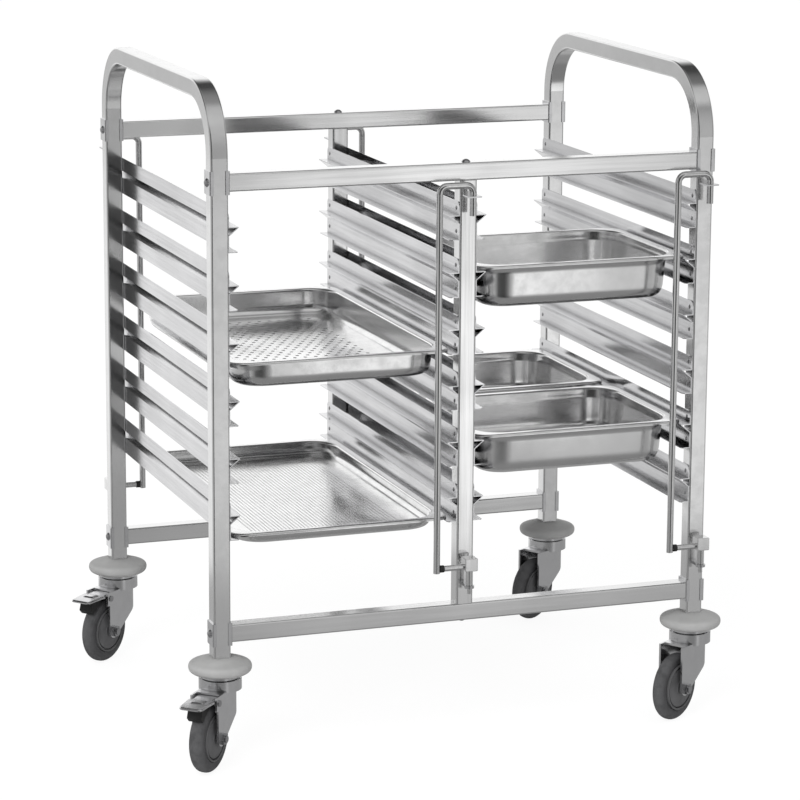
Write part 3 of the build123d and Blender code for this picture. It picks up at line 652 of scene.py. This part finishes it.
def pan_mesh(sizes, half_x, half_y, depth, holes):
    """A pressed pan about its rim's middle: the profile and its underside carried round the rectangle.

    The underside is the profile moved out by the sheet's thickness. The floor is a fan of faces, or a
    perforated sheet with a plain border.
    """
    inner = pan_profile(sizes, depth)
    outer = offset_profile(inner, sizes.sheet)
    outer[0] = (sizes.sheet, -sizes.hem_height)
    outer[-1] = inner[-1] - [0.0, sizes.sheet]
    profile = np.concatenate([outer[::-1], inner])
    inset = profile[:, 0]
    radius = np.where(
        inset < sizes.rim_width,
        sizes.rim_corner + (sizes.wall_corner - sizes.rim_corner) * inset / sizes.rim_width,
        sizes.wall_corner + sizes.rim_width - inset)
    rings = rounded_rectangles(half_x, half_y, inset, radius, profile[:, 1], sizes.corner_steps)
    count = rings.shape[1]
    points = rings.reshape(-1, 3)
    faces = [grid_faces(len(profile), count, wrap_cols=True)]
    upper_ring = (len(profile) - 1) * count + np.arange(count)
    lower_ring = np.arange(count)
    floor_z = inner[-1, 1]
    if holes is None:
        middles = np.array([[0.0, 0.0, floor_z], [0.0, 0.0, floor_z - sizes.sheet]])
        top, under = len(points), len(points) + 1
        points = np.concatenate([points, middles])
        faces.append(np.stack([upper_ring, np.roll(upper_ring, -1), np.full(count, top)], axis=1))
        faces.append(np.stack([np.roll(lower_ring, -1), lower_ring, np.full(count, under)], axis=1))
    else:
        pattern, pitch, hole, border = holes
        room_x = half_x - inner[-1, 0] - border
        room_y = half_y - inner[-1, 0] - border
        sheet, cells, zone = pattern(room_x, room_y, pitch, hole, sizes.sheet)
        sheet, cells = weld(sheet + [0.0, 0.0, floor_z], cells)
        start = len(points)
        points = np.concatenate([points, sheet])
        faces += [cell + start for cell in cells]
        masked = points.copy()
        masked[:start] = np.inf
        faces += plain_border(masked, upper_ring, zone, floor_z, True)
        faces += plain_border(masked, lower_ring, zone, floor_z - sizes.sheet, False)
    return points, faces


class TROLLEY_OT_pans(bpy.types.Operator):
    """Make the five pressed pans, two of them with perforated floors"""

    bl_idname = "trolley.pans"
    bl_label = "Pans"

    def execute(self, context):
        sizes = context.scene.trolley_pans
        holes = context.scene.trolley_holes
        colours = context.scene.trolley_colours
        # The pan finish paints shade into the holes, corners and folds.
        finish = steel("bright_pressed_pan", colours.pan, roughness=0.17, wave=0.004, wave_scale=6.0,
                       contrast=0.03, painted_shade=1.0, painted_shade_reach=0.008)
        floors = {
            "left_upper_pan": (staggered_holes, holes.wide_pitch, holes.wide_hole, holes.wide_border),
            "left_lower_pan": (straight_holes, holes.fine_pitch, holes.fine_hole, holes.fine_border),
        }
        for node in PANS:
            low, high = node_box(node)
            half_x, half_y = (high - low)[:2] / 2
            points, faces = pan_mesh(sizes, half_x, half_y, high[2] - low[2], floors.get(node))
            middle = np.array([*(low + high)[:2] / 2, high[2]])
            piece = make_piece("pressed_" + node, points + middle, faces, finish)
            stand_for(piece, node, node)
        return {"FINISHED"}


# Castors

def wheel_place(corner):
    """A wheel's middle and its axle's direction."""
    name = f"{corner}_spin"
    return joint_place(name), unit(np.array(joints[name]["axis"], dtype=float))


def wheel_sizes(node, axis):
    """The radius and half width of a tyre or core, from its box.

    The box is as high as the diameter. Along X it spans the width times the axle's part along X, and the
    diameter times the axle's part along Y.
    """
    low, high = node_box(node)
    span = high - low
    radius = span[2] / 2
    return radius, (span[0] - 2 * radius * abs(axis[1])) / (2 * abs(axis[0]))


def tyre_profile(sizes, inner, outer, half):
    """A tyre's closed section: a rectangle with large outer and small inner corners and a crowned tread."""
    far, near = sizes.shoulder, sizes.seat_edge
    loop = np.concatenate([
        arc((outer - far, half - far), far, 90, 0, 8),
        np.stack([np.full(5, outer), np.linspace(half - far, far - half, 7)[1:-1]], axis=1),
        arc((outer - far, far - half), far, 0, -90, 8),
        arc((inner + near, near - half), near, -90, -180, 4),
        arc((inner + near, half - near), near, 180, 90, 4),
    ])
    rise = np.clip((loop[:, 0] - inner) / (outer - inner), 0, 1)
    loop[:, 0] -= sizes.tread_crown * rise * (loop[:, 1] / half) ** 2
    return loop


class TROLLEY_OT_tyres(bpy.types.Operator):
    """Make the four tyres with rounded shoulders and a scuffed tread"""

    bl_idname = "trolley.tyres"
    bl_label = "Tyres"

    def execute(self, context):
        sizes = context.scene.trolley_castors
        colours = context.scene.trolley_colours
        finish = scuffed_tyre("grey_tyre", colours.tyre, colours.tread, roughness=0.6)
        for corner in CORNERS:
            centre, axis = wheel_place(corner)
            outer, half = wheel_sizes(f"{corner}_tyre", axis)
            inner, _ = wheel_sizes(f"{corner}_wheel_core", axis)
            profile = tyre_profile(sizes, inner, outer, half)
            points, faces = turned(profile, centre, axis, sizes.turn_steps)
            tread = np.tile((profile[:, 0] - inner) / (outer - inner), sizes.turn_steps)
            piece = make_piece(f"{corner}_scuffed_tyre", points, faces, finish, attributes={"tread": tread})
            stand_for(piece, f"{corner}_tyre", f"{corner}_wheel")
        return {"FINISHED"}


CORE_BORE, CORE_HUB, CORE_FACE = 5.05 * MM, 11.0 * MM, 11.5 * MM
CORE_RIM_RISE, CORE_EASE = 0.9 * MM, 0.5 * MM
HUB_EASE, HUB_FOOT, HUB_FOOT_RISE = 1.0 * MM, 1.6 * MM, 0.4 * MM
GROOVE_LEAN = 0.2 * MM


def core_profile(sizes, outer, half):
    """A core's closed section: hub, flat disc, groove and rim on one side, and the same mirrored."""
    near, far = sizes.groove_radius - sizes.groove_width, sizes.groove_radius
    bottom, rim = CORE_FACE - sizes.groove_depth, CORE_FACE + CORE_RIM_RISE
    side = np.array([
        (CORE_BORE, half), (CORE_HUB - HUB_EASE, half), (CORE_HUB, half - HUB_EASE),
        (CORE_HUB + HUB_EASE, CORE_FACE + HUB_FOOT_RISE), (CORE_HUB + HUB_FOOT, CORE_FACE),
        (near - CORE_EASE, CORE_FACE), (near, CORE_FACE - CORE_EASE),
        (near + GROOVE_LEAN, bottom), (far - GROOVE_LEAN, bottom),
        (far, rim - CORE_EASE), (far + CORE_EASE, rim), (outer - CORE_EASE, rim), (outer, rim - CORE_EASE),
    ])
    return np.concatenate([side, side[::-1] * [1, -1]])


class TROLLEY_OT_wheel_cores(bpy.types.Operator):
    """Make the four dark wheel cores with a groove near the rim"""

    bl_idname = "trolley.wheel_cores"
    bl_label = "Wheel cores"

    def execute(self, context):
        sizes = context.scene.trolley_castors
        colours = context.scene.trolley_colours
        finish = rubber("dark_wheel_core", colours.core, roughness=0.45, speck=900.0, mottle=0.15)
        for corner in CORNERS:
            centre, axis = wheel_place(corner)
            outer, half = wheel_sizes(f"{corner}_wheel_core", axis)
            profile = core_profile(sizes, outer, half)
            points, faces = turned(profile, centre, axis, sizes.turn_steps)
            piece = make_piece(f"{corner}_grooved_core", points, faces, finish, sharp=35.0)
            stand_for(piece, f"{corner}_wheel_core", f"{corner}_wheel")
        return {"FINISHED"}


PEDAL_TAIL, PEDAL_NECK, PEDAL_TIP = -6.0 * MM, 13.0 * MM, 55.0 * MM
PEDAL_TOP = 7.0 * MM
PEDAL_NECK_HALF, PEDAL_HALF, PEDAL_TIP_HALF = 16.8 * MM, 20.5 * MM, 17.5 * MM
PEDAL_CORNER = 7.0 * MM
PEDAL_ROLL = 3.0 * MM
PEDAL_FLAT = 24.0 * MM
BOSS_MIDDLE, BOSS_HALF_LENGTH, BOSS_HALF_WIDTH = 25.0 * MM, 9.0 * MM, 10.0 * MM
EAR_RADIUS = 5.5 * MM
EAR_SHEET = 2.0 * MM


def pedal_plate(sizes):
    """A pedal's pressed tongue about its pin, on a grid along its length and across it.

    The half width grows at the neck, tapers to the tip and is rounded there. The height is level, bends down
    towards the tip by a square law, rolls down near the edges by another, and rises over a rounded boss.
    """
    along = np.concatenate([
        np.linspace(PEDAL_TAIL, PEDAL_TIP - PEDAL_CORNER, 40)[:-1],
        PEDAL_TIP - PEDAL_CORNER + PEDAL_CORNER * np.sin(np.linspace(0.0, np.pi / 2, 12))])
    across = np.sin(np.linspace(-np.pi / 2, np.pi / 2, 41))
    neck = smooth((along - PEDAL_NECK + PEDAL_ROLL) / (2 * PEDAL_ROLL))
    taper = np.clip((along - PEDAL_NECK) / (PEDAL_TIP - PEDAL_NECK), 0.0, 1.0)
    half = PEDAL_NECK_HALF + (PEDAL_HALF - PEDAL_NECK_HALF) * neck + (PEDAL_TIP_HALF - PEDAL_HALF) * taper
    past = np.clip(along - PEDAL_TIP + PEDAL_CORNER, 0.0, PEDAL_CORNER)
    half -= PEDAL_CORNER - np.sqrt(np.maximum(PEDAL_CORNER**2 - past**2, 0.0))
    x = np.broadcast_to(along[:, None], (len(along), len(across)))
    y = half[:, None] * across[None, :]
    bend = np.clip((x - PEDAL_FLAT) / (PEDAL_TIP - PEDAL_FLAT), 0.0, 1.0) ** 2
    inside = np.minimum(half[:, None] - np.abs(y), PEDAL_TIP - x)
    roll = np.clip(1.0 - inside / PEDAL_ROLL, 0.0, 1.0) ** 2
    boss = smooth((BOSS_HALF_LENGTH - np.abs(x - BOSS_MIDDLE)) / PEDAL_ROLL)
    boss = boss * smooth((BOSS_HALF_WIDTH - np.abs(y)) / PEDAL_ROLL)
    z = PEDAL_TOP - sizes.pedal_droop * bend - sizes.pedal_edge * roll + sizes.pedal_boss * boss
    top = np.stack([x, y, z], axis=-1).reshape(-1, 3)
    sheet = grid_faces(len(along), len(across))
    count = len(top)
    number = np.arange(count).reshape(len(along), len(across))
    border = np.concatenate([number[0, :-1], number[:-1, -1], number[-1, :0:-1], number[:0:-1, 0]])
    following = np.roll(border, -1)
    edge = np.stack([border, following, following + count, border + count], axis=1)
    points = np.concatenate([top, top - [0.0, 0.0, sizes.pedal_sheet]])
    return points, [sheet[:, ::-1], sheet + count, edge]


def pedal_ear(inner, outer):
    """A pedal's ear: a half circle under the pin with straight sides above it, drawn out sideways."""
    ring = arc((0.0, 0.0), EAR_RADIUS, 0, -180, 17)
    top = PEDAL_TOP - EAR_SHEET
    outline = np.concatenate([ring, [(PEDAL_TAIL, top), (EAR_RADIUS, top)]])
    count = len(outline)
    sides = [np.insert(outline, 1, place, axis=1) for place in (inner, outer)]
    number = np.arange(count)
    following = np.roll(number, -1)
    skirt = np.stack([number, following, following + count, number + count], axis=1)
    return np.concatenate(sides), [number[None, ::-1], number[None] + count, skirt]


def joined(shapes):
    """Several closed shapes in one mesh, each facing out."""
    points, faces, start = [], [], 0
    for shape, groups in shapes:
        points.append(shape)
        faces += [group + start for group in facing_out(shape, groups)]
        start += len(shape)
    return np.concatenate(points), faces


class TROLLEY_OT_pedals(bpy.types.Operator):
    """Make the two pressed brake pedals with their turned edges, raised boss and ears"""

    bl_idname = "trolley.pedals"
    bl_label = "Brake pedals"

    def execute(self, context):
        sizes = context.scene.trolley_castors
        colours = context.scene.trolley_colours
        finish = steel("bright_pedal_plate", colours.pedal, roughness=0.22, wave=0.00002, wave_scale=20.0,
                       contrast=0.04)
        ears = [pedal_ear(side * (PEDAL_NECK_HALF - EAR_SHEET), side * PEDAL_NECK_HALF) for side in (1, -1)]
        shape, faces = joined([pedal_plate(sizes), *ears])
        for corner in BRAKED_CORNERS:
            pin = joint_place(f"{corner}_pedal")
            outward = unit((pin - joint_place(f"{corner}_swivel")) * [1.0, 1.0, 0.0])
            points = shape @ np.stack([outward, np.cross(UP, outward), UP]) + pin
            piece = make_piece(f"{corner}_pressed_pedal", points, faces, finish, sharp=50.0)
            stand_for(piece, f"{corner}_brake_pedal", f"{corner}_brake")
        return {"FINISHED"}


# Stop bars

ARM_RISE = 6.0 * MM
ROD_OFFSET, ROD_RADIUS = 50.0 * MM, 4.75 * MM
STOP_COLLAR = np.array([(4.25, 0.0), (4.9, 0.0), (5.2, 0.3), (5.2, 5.7), (4.9, 6.0), (4.25, 6.0)]) * MM
STOP_COLLAR_STEPS = 28


class TROLLEY_OT_stop_collars(bpy.types.Operator):
    """Make the black collars on the stop bars' arms, beside the rods"""

    bl_idname = "trolley.stop_collars"
    bl_label = "Stop collars"

    def execute(self, context):
        finish = rubber("black_collar", context.scene.trolley_colours.pad, roughness=0.5, mottle=0.3)
        for bar in STOP_BARS:
            low, high = node_box(f"{bar}_stop_rod")
            pivot = joint_place(f"{bar}_stop_swing")
            way = np.array([np.sign((low + high)[0] / 2 - pivot[0]), 0.0, 0.0])
            middle = np.array([pivot[0], pivot[1], low[2] + ARM_RISE])
            start = middle + way * (ROD_OFFSET - ROD_RADIUS)
            points, faces = turned(STOP_COLLAR, start, -way, STOP_COLLAR_STEPS)
            piece = make_piece(f"{bar}_stop_collar", points, faces, finish)
            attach(piece, f"{bar}_stop_bar")
        return {"FINISHED"}


# Finishes for the solids

class TROLLEY_OT_frame_finish(bpy.types.Operator):
    """Finish the tubes, saddles, fasteners, runners and stop bars"""

    bl_idname = "trolley.frame_finish"
    bl_label = "Frame finish"

    def execute(self, context):
        colours = context.scene.trolley_colours
        bent = steel("polished_bent_tube", colours.tube, roughness=0.16, wave_scale=9.0, contrast=0.03)
        upright = steel("polished_post_tube", colours.tube, roughness=0.15, grain="Z", wave_scale=9.0)
        # Painted light: the top rails get a lighter copy of the tube's steel.
        level = steel("painted_light_rail_tube", colours.painted_light_rail, roughness=0.15, grain="X", wave_scale=9.0)
        low = steel("polished_low_rail", colours.tube, roughness=0.15, grain="X", wave_scale=9.0)
        # The runner, saddle and fastener finishes paint shade into their hollows and folds.
        folded = steel("folded_runner_sheet", colours.sheet, roughness=0.16, grain="Y", wave=0.00012,
                       contrast=0.08, painted_shade=0.9, painted_shade_reach=0.022)
        rod = steel("polished_rod", colours.tube, roughness=0.16, grain="Z", wave=0.00002, wave_scale=30.0)
        pressed = steel("pressed_saddle", colours.sheet, roughness=0.2, wave_scale=30.0, painted_shade=0.6,
                        painted_shade_reach=0.004)
        bolt = steel("plain_fastener", colours.fastener, roughness=0.28, wave=0.00005, wave_scale=60.0,
                     contrast=0.1, painted_shade=0.6, painted_shade_reach=0.004)
        for side in ("left", "right"):
            dress(f"{side}_end_frame", bent)
            dress(f"{side}_end_runners", folded)
            dress(f"{side}_centre_runners", folded)
        for end in ("front", "rear"):
            dress(f"{end}_top_rail", level)
            dress(f"{end}_bottom_rail", low)
            dress(f"{end}_centre_post", upright)
        for node in ("outer_saddles", "inner_saddles", "stop_bar_lugs"):
            dress(node, pressed)
        for node in ("frame_bolts", "post_bolts", "tube_inserts", "runner_rivets"):
            dress(node, bolt)
        for bar in STOP_BARS:
            dress(f"{bar}_stop_rod", rod)
            dress(f"{bar}_stop_pivot", rod)
        return {"FINISHED"}


class TROLLEY_OT_castor_finish(bpy.types.Operator):
    """Finish the forks, stems, axles, bumpers and brakes"""

    bl_idname = "trolley.castor_finish"
    bl_label = "Castor finish"

    def execute(self, context):
        colours = context.scene.trolley_colours
        # The plate and bolt finishes paint shade into their hollows and folds.
        plated = steel("bright_zinc_plate", colours.zinc, roughness=0.2, wave=0.00002, wave_scale=20.0,
                       contrast=0.03, painted_shade=0.8, painted_shade_reach=0.005)
        bolt = steel("plated_bolt", colours.fastener, roughness=0.25, wave=0.00003, wave_scale=60.0,
                     contrast=0.08, painted_shade=0.5, painted_shade_reach=0.004)
        soft = rubber("grey_bumper", colours.bumper, roughness=0.62, speck=700.0, mottle=0.05)
        black = rubber("black_pad", colours.pad, roughness=0.6, mottle=0.3)
        dress("castor_stems", plated)
        for corner in CORNERS:
            dress(f"{corner}_fork", plated)
            dress(f"{corner}_axle", bolt)
            dress(f"{corner}_bumper", soft)
        for corner in BRAKED_CORNERS:
            dress(f"{corner}_pedal_pin", bolt)
            dress(f"{corner}_brake_pad", black)
        return {"FINISHED"}


# Stage

# Rooms give a level for each height of a direction, and panels one for each turn of it, both from -1 to 1.
FRONT_ROOM = (
    (-1.0, 0.10), (-0.70, 0.12), (-0.50, 0.28), (-0.43, 0.64), (-0.38, 0.98), (-0.34, 0.86), (-0.26, 0.98),
    (-0.20, 1.05), (-0.165, 1.0), (-0.15, 0.94), (-0.14, 0.76), (-0.125, 0.56), (-0.09, 0.54), (0.0, 0.58),
    (0.30, 0.60), (0.60, 0.58), (0.80, 0.57), (0.93, 0.49), (1.0, 0.34))
BACK_ROOM = (
    (-1.0, 0.30), (-0.50, 0.60), (-0.26, 0.92), (-0.15, 0.92), (-0.125, 0.50), (-0.11, 0.50), (-0.10, 0.68),
    (-0.04, 0.90), (0.10, 1.05), (0.38, 1.05), (0.50, 0.52), (0.64, 0.05), (0.82, 0.05), (0.91, 0.16),
    (1.0, 0.32))
FRONT_PANEL = (
    (-1.0, 0.46), (-0.76, 0.50), (-0.62, 0.32), (-0.48, 0.08), (-0.10, 0.06), (0.05, 0.12), (0.18, 0.30),
    (0.27, 0.50), (0.295, 0.72), (0.325, 1.12), (0.385, 1.12), (0.415, 0.80), (0.44, 0.70), (0.52, 0.48),
    (0.64, 0.44), (0.80, 0.50), (1.0, 0.42))
BACK_PANEL = (
    (-1.0, 0.50), (-0.76, 0.58), (-0.60, 0.60), (-0.46, 0.74), (-0.36, 0.95), (-0.20, 1.0), (0.38, 1.0),
    (0.50, 0.76), (0.66, 0.52), (0.88, 0.54), (1.0, 0.48))
STEEP = (0.45, 0.75)
FRONT_FADE = (-0.02, -0.22)
SOFT_LEVEL = 0.75
# Painted shade: a dim glowing patch of floor round the object, seen only in reflections.
FLOOR_SHADE_LEVEL, FLOOR_SHADE_COVER = 0.27, 0.7
FLOOR_SHADE_FRONT, FLOOR_SHADE_BACK, FLOOR_SHADE_SIDE = (-1.4, -1.15), (0.8, 0.6), (1.25, 1.05)
FLOOR_MATTE = (0.9, 0.9, 0.9, 1.0)
FLOOR_WHITE, FLOOR_WHITE_SHARE = 1.06, 0.86
LAMP_PLACE, LAMP_AIM = (-2.6, -3.2, 3.6), (0.0, 0.0, 0.4)
LAMP_SIDE, LAMP_POWER = 2.4, 130.0
CAMERA_REACH = 100.0


def studio_world(name):
    """White to the camera, soft white for the light, and for reflections a studio room.

    Its levels follow the height of a direction, one row for the back half and one for the front, and each
    half is brightest at one panel and dim beside it, so that rounded edges show dark lines. Steep directions
    leave the panels out.
    """
    world = bpy.data.worlds.new(name)
    nodes = emptied(world)
    way = nodes.add("ShaderNodeTexCoord").outputs["Generated"]
    x, y, z = nodes.add("ShaderNodeSeparateXYZ", {"Vector": way}).outputs
    squares = [nodes.maths("MULTIPLY", part, part) for part in (x, y)]
    level = nodes.maths("SQRT", nodes.maths("ADD", *squares))
    turn = nodes.maths("DIVIDE", x, nodes.maths("MAXIMUM", level, 0.001))
    steep = nodes.ramp(nodes.maths("ABSOLUTE", z), *STEEP)
    rooms = []
    for room, panel in ((BACK_ROOM, BACK_PANEL), (FRONT_ROOM, FRONT_PANEL)):
        share = nodes.maths("MAXIMUM", nodes.stops(turn, -1.0, 1.0, panel), steep)
        rooms.append(nodes.maths("MULTIPLY", nodes.stops(z, -1.0, 1.0, room), share))
    studio = nodes.blend(nodes.ramp(y, *FRONT_FADE), *rooms)
    path = nodes.add("ShaderNodeLightPath")
    glossy, soft, white = (
        nodes.white("ShaderNodeBackground", strength) for strength in (studio, SOFT_LEVEL, 1.0))
    lit = nodes.shaders(path.outputs["Is Glossy Ray"], soft, glossy)
    seen = nodes.shaders(path.outputs["Is Camera Ray"], lit, white)
    nodes.add("ShaderNodeOutputWorld", {"Surface": seen})
    return world


def pale_floor(name):
    """White floor for the camera that keeps a soft shadow, and matte for the light.

    Reflections show painted shade on the floor round the object, a dim glowing patch, and the studio room
    where the patch ends.
    """
    material = bpy.data.materials.new(name)
    nodes = emptied(material)
    place = nodes.add("ShaderNodeTexCoord").outputs["Object"]
    x, y, _ = nodes.add("ShaderNodeSeparateXYZ", {"Vector": place}).outputs
    length = nodes.maths("MULTIPLY", nodes.ramp(y, *FLOOR_SHADE_FRONT), nodes.ramp(y, *FLOOR_SHADE_BACK))
    width = nodes.ramp(nodes.maths("ABSOLUTE", x), *FLOOR_SHADE_SIDE, 0.0, FLOOR_SHADE_COVER)
    path = nodes.add("ShaderNodeLightPath")
    matte = nodes.add("ShaderNodeBsdfDiffuse", {"Color": FLOOR_MATTE}).outputs[0]
    # Painted shade: in reflections the floor round the object glows dimly in place of a lit floor.
    white, floor_shade = (
        nodes.white("ShaderNodeEmission", strength) for strength in (FLOOR_WHITE, FLOOR_SHADE_LEVEL))
    clear = nodes.add("ShaderNodeBsdfTransparent").outputs[0]
    share = nodes.maths("MULTIPLY", path.outputs["Is Camera Ray"], FLOOR_WHITE_SHARE)
    seen = nodes.shaders(share, matte, white)
    mirrored = nodes.shaders(nodes.maths("MULTIPLY", length, width), clear, floor_shade)
    mixed = nodes.shaders(path.outputs["Is Glossy Ray"], seen, mirrored)
    nodes.add("ShaderNodeOutputMaterial", {"Surface": mixed})
    return material


def place_object(thing, place, across, up, back):
    """Sets an object's place and its three directions."""
    matrix = np.eye(4)
    matrix[:3] = np.stack([across, up, back, place], axis=1)
    thing.matrix_world = Matrix(matrix.tolist())


def soft_lamp(name, place, aim, side, power):
    """A large square lamp at a place, turned to a point, that reflections don't show."""
    light = bpy.data.lights.new(name, "AREA")
    light.size = side
    light.energy = power
    lamp = bpy.data.objects.new(name, light)
    back = unit(np.array(place) - np.array(aim))
    across = unit(np.cross(UP, back))
    place_object(lamp, np.array(place), across, np.cross(back, across), back)
    lamp.visible_glossy = False
    bpy.context.scene.collection.objects.link(lamp)


class TROLLEY_OT_stage(bpy.types.Operator):
    """Make the pale floor, the soft light and the camera at the photograph's angle"""

    bl_idname = "trolley.stage"
    bl_label = "Stage"

    def execute(self, context):
        settings = context.scene.trolley_stage
        half = settings.floor_side / 2
        corners = np.array([(-half, -half, 0), (half, -half, 0), (half, half, 0), (-half, half, 0)])
        floor = make_piece("pale_floor", corners, [np.array([[0, 1, 2, 3]])], pale_floor("pale_floor"))
        context.scene.world = studio_world("studio")
        soft_lamp("key_lamp", LAMP_PLACE, LAMP_AIM, LAMP_SIDE, LAMP_POWER)
        self.camera(context.scene, settings)
        context.scene.view_settings.view_transform = "Standard"
        return {"FINISHED"}

    def camera(self, scene, settings):
        """The camera on its sphere about the target, rolled about its view."""
        a, e, r = settings.azimuth, settings.elevation, settings.roll
        back = np.array([math.sin(a) * math.cos(e), -math.cos(a) * math.cos(e), math.sin(e)])
        right = np.array([math.cos(a), math.sin(a), 0.0])
        up = np.cross(back, right)
        across = math.cos(r) * right + math.sin(r) * up
        upward = -math.sin(r) * right + math.cos(r) * up
        data = bpy.data.cameras.new("photo_camera")
        data.sensor_width = SENSOR_WIDTH
        data.lens = settings.focal_pixels * SENSOR_WIDTH / IMAGE_SIDE
        data.clip_end = CAMERA_REACH
        camera = bpy.data.objects.new("photo_camera", data)
        scene.collection.objects.link(camera)
        place_object(camera, np.array(settings.target) + settings.distance * back, across, upward, back)
        scene.camera = camera


# Add-on

class TROLLEY_PT_panel(bpy.types.Panel):
    """Lists the trolley's pieces and its stage."""

    bl_idname = "TROLLEY_PT_panel"
    bl_label = "Tray trolley"
    bl_space_type = "VIEW_3D"
    bl_region_type = "UI"
    bl_category = "Trolley"

    def draw(self, context):
        for operator in OPERATORS:
            self.layout.operator(operator.bl_idname)


OPERATORS = (
    TROLLEY_OT_frame_finish,
    TROLLEY_OT_castor_finish,
    TROLLEY_OT_pans,
    TROLLEY_OT_tyres,
    TROLLEY_OT_wheel_cores,
    TROLLEY_OT_pedals,
    TROLLEY_OT_stop_collars,
    TROLLEY_OT_stage,
)
SETTINGS = {
    "trolley_pans": PanSizes,
    "trolley_holes": PerforationSizes,
    "trolley_castors": CastorSizes,
    "trolley_colours": FinishColours,
    "trolley_stage": StageSettings,
}


def register():
    """Registers the settings, operators and panel."""
    for name, group in SETTINGS.items():
        bpy.utils.register_class(group)
        setattr(bpy.types.Scene, name, PointerProperty(type=group))
    for cls in (*OPERATORS, TROLLEY_PT_panel):
        bpy.utils.register_class(cls)


def unregister():
    """Removes them again."""
    for cls in (TROLLEY_PT_panel, *reversed(OPERATORS)):
        bpy.utils.unregister_class(cls)
    for name, group in reversed(SETTINGS.items()):
        delattr(bpy.types.Scene, name)
        bpy.utils.unregister_class(group)


def main():
    """Makes every piece in order."""
    register()
    bpy.ops.trolley.frame_finish()
    bpy.ops.trolley.castor_finish()
    bpy.ops.trolley.pans()
    bpy.ops.trolley.tyres()
    bpy.ops.trolley.wheel_cores()
    bpy.ops.trolley.pedals()
    bpy.ops.trolley.stop_collars()
    bpy.ops.trolley.stage()


if __name__ == "__main__":
    main()
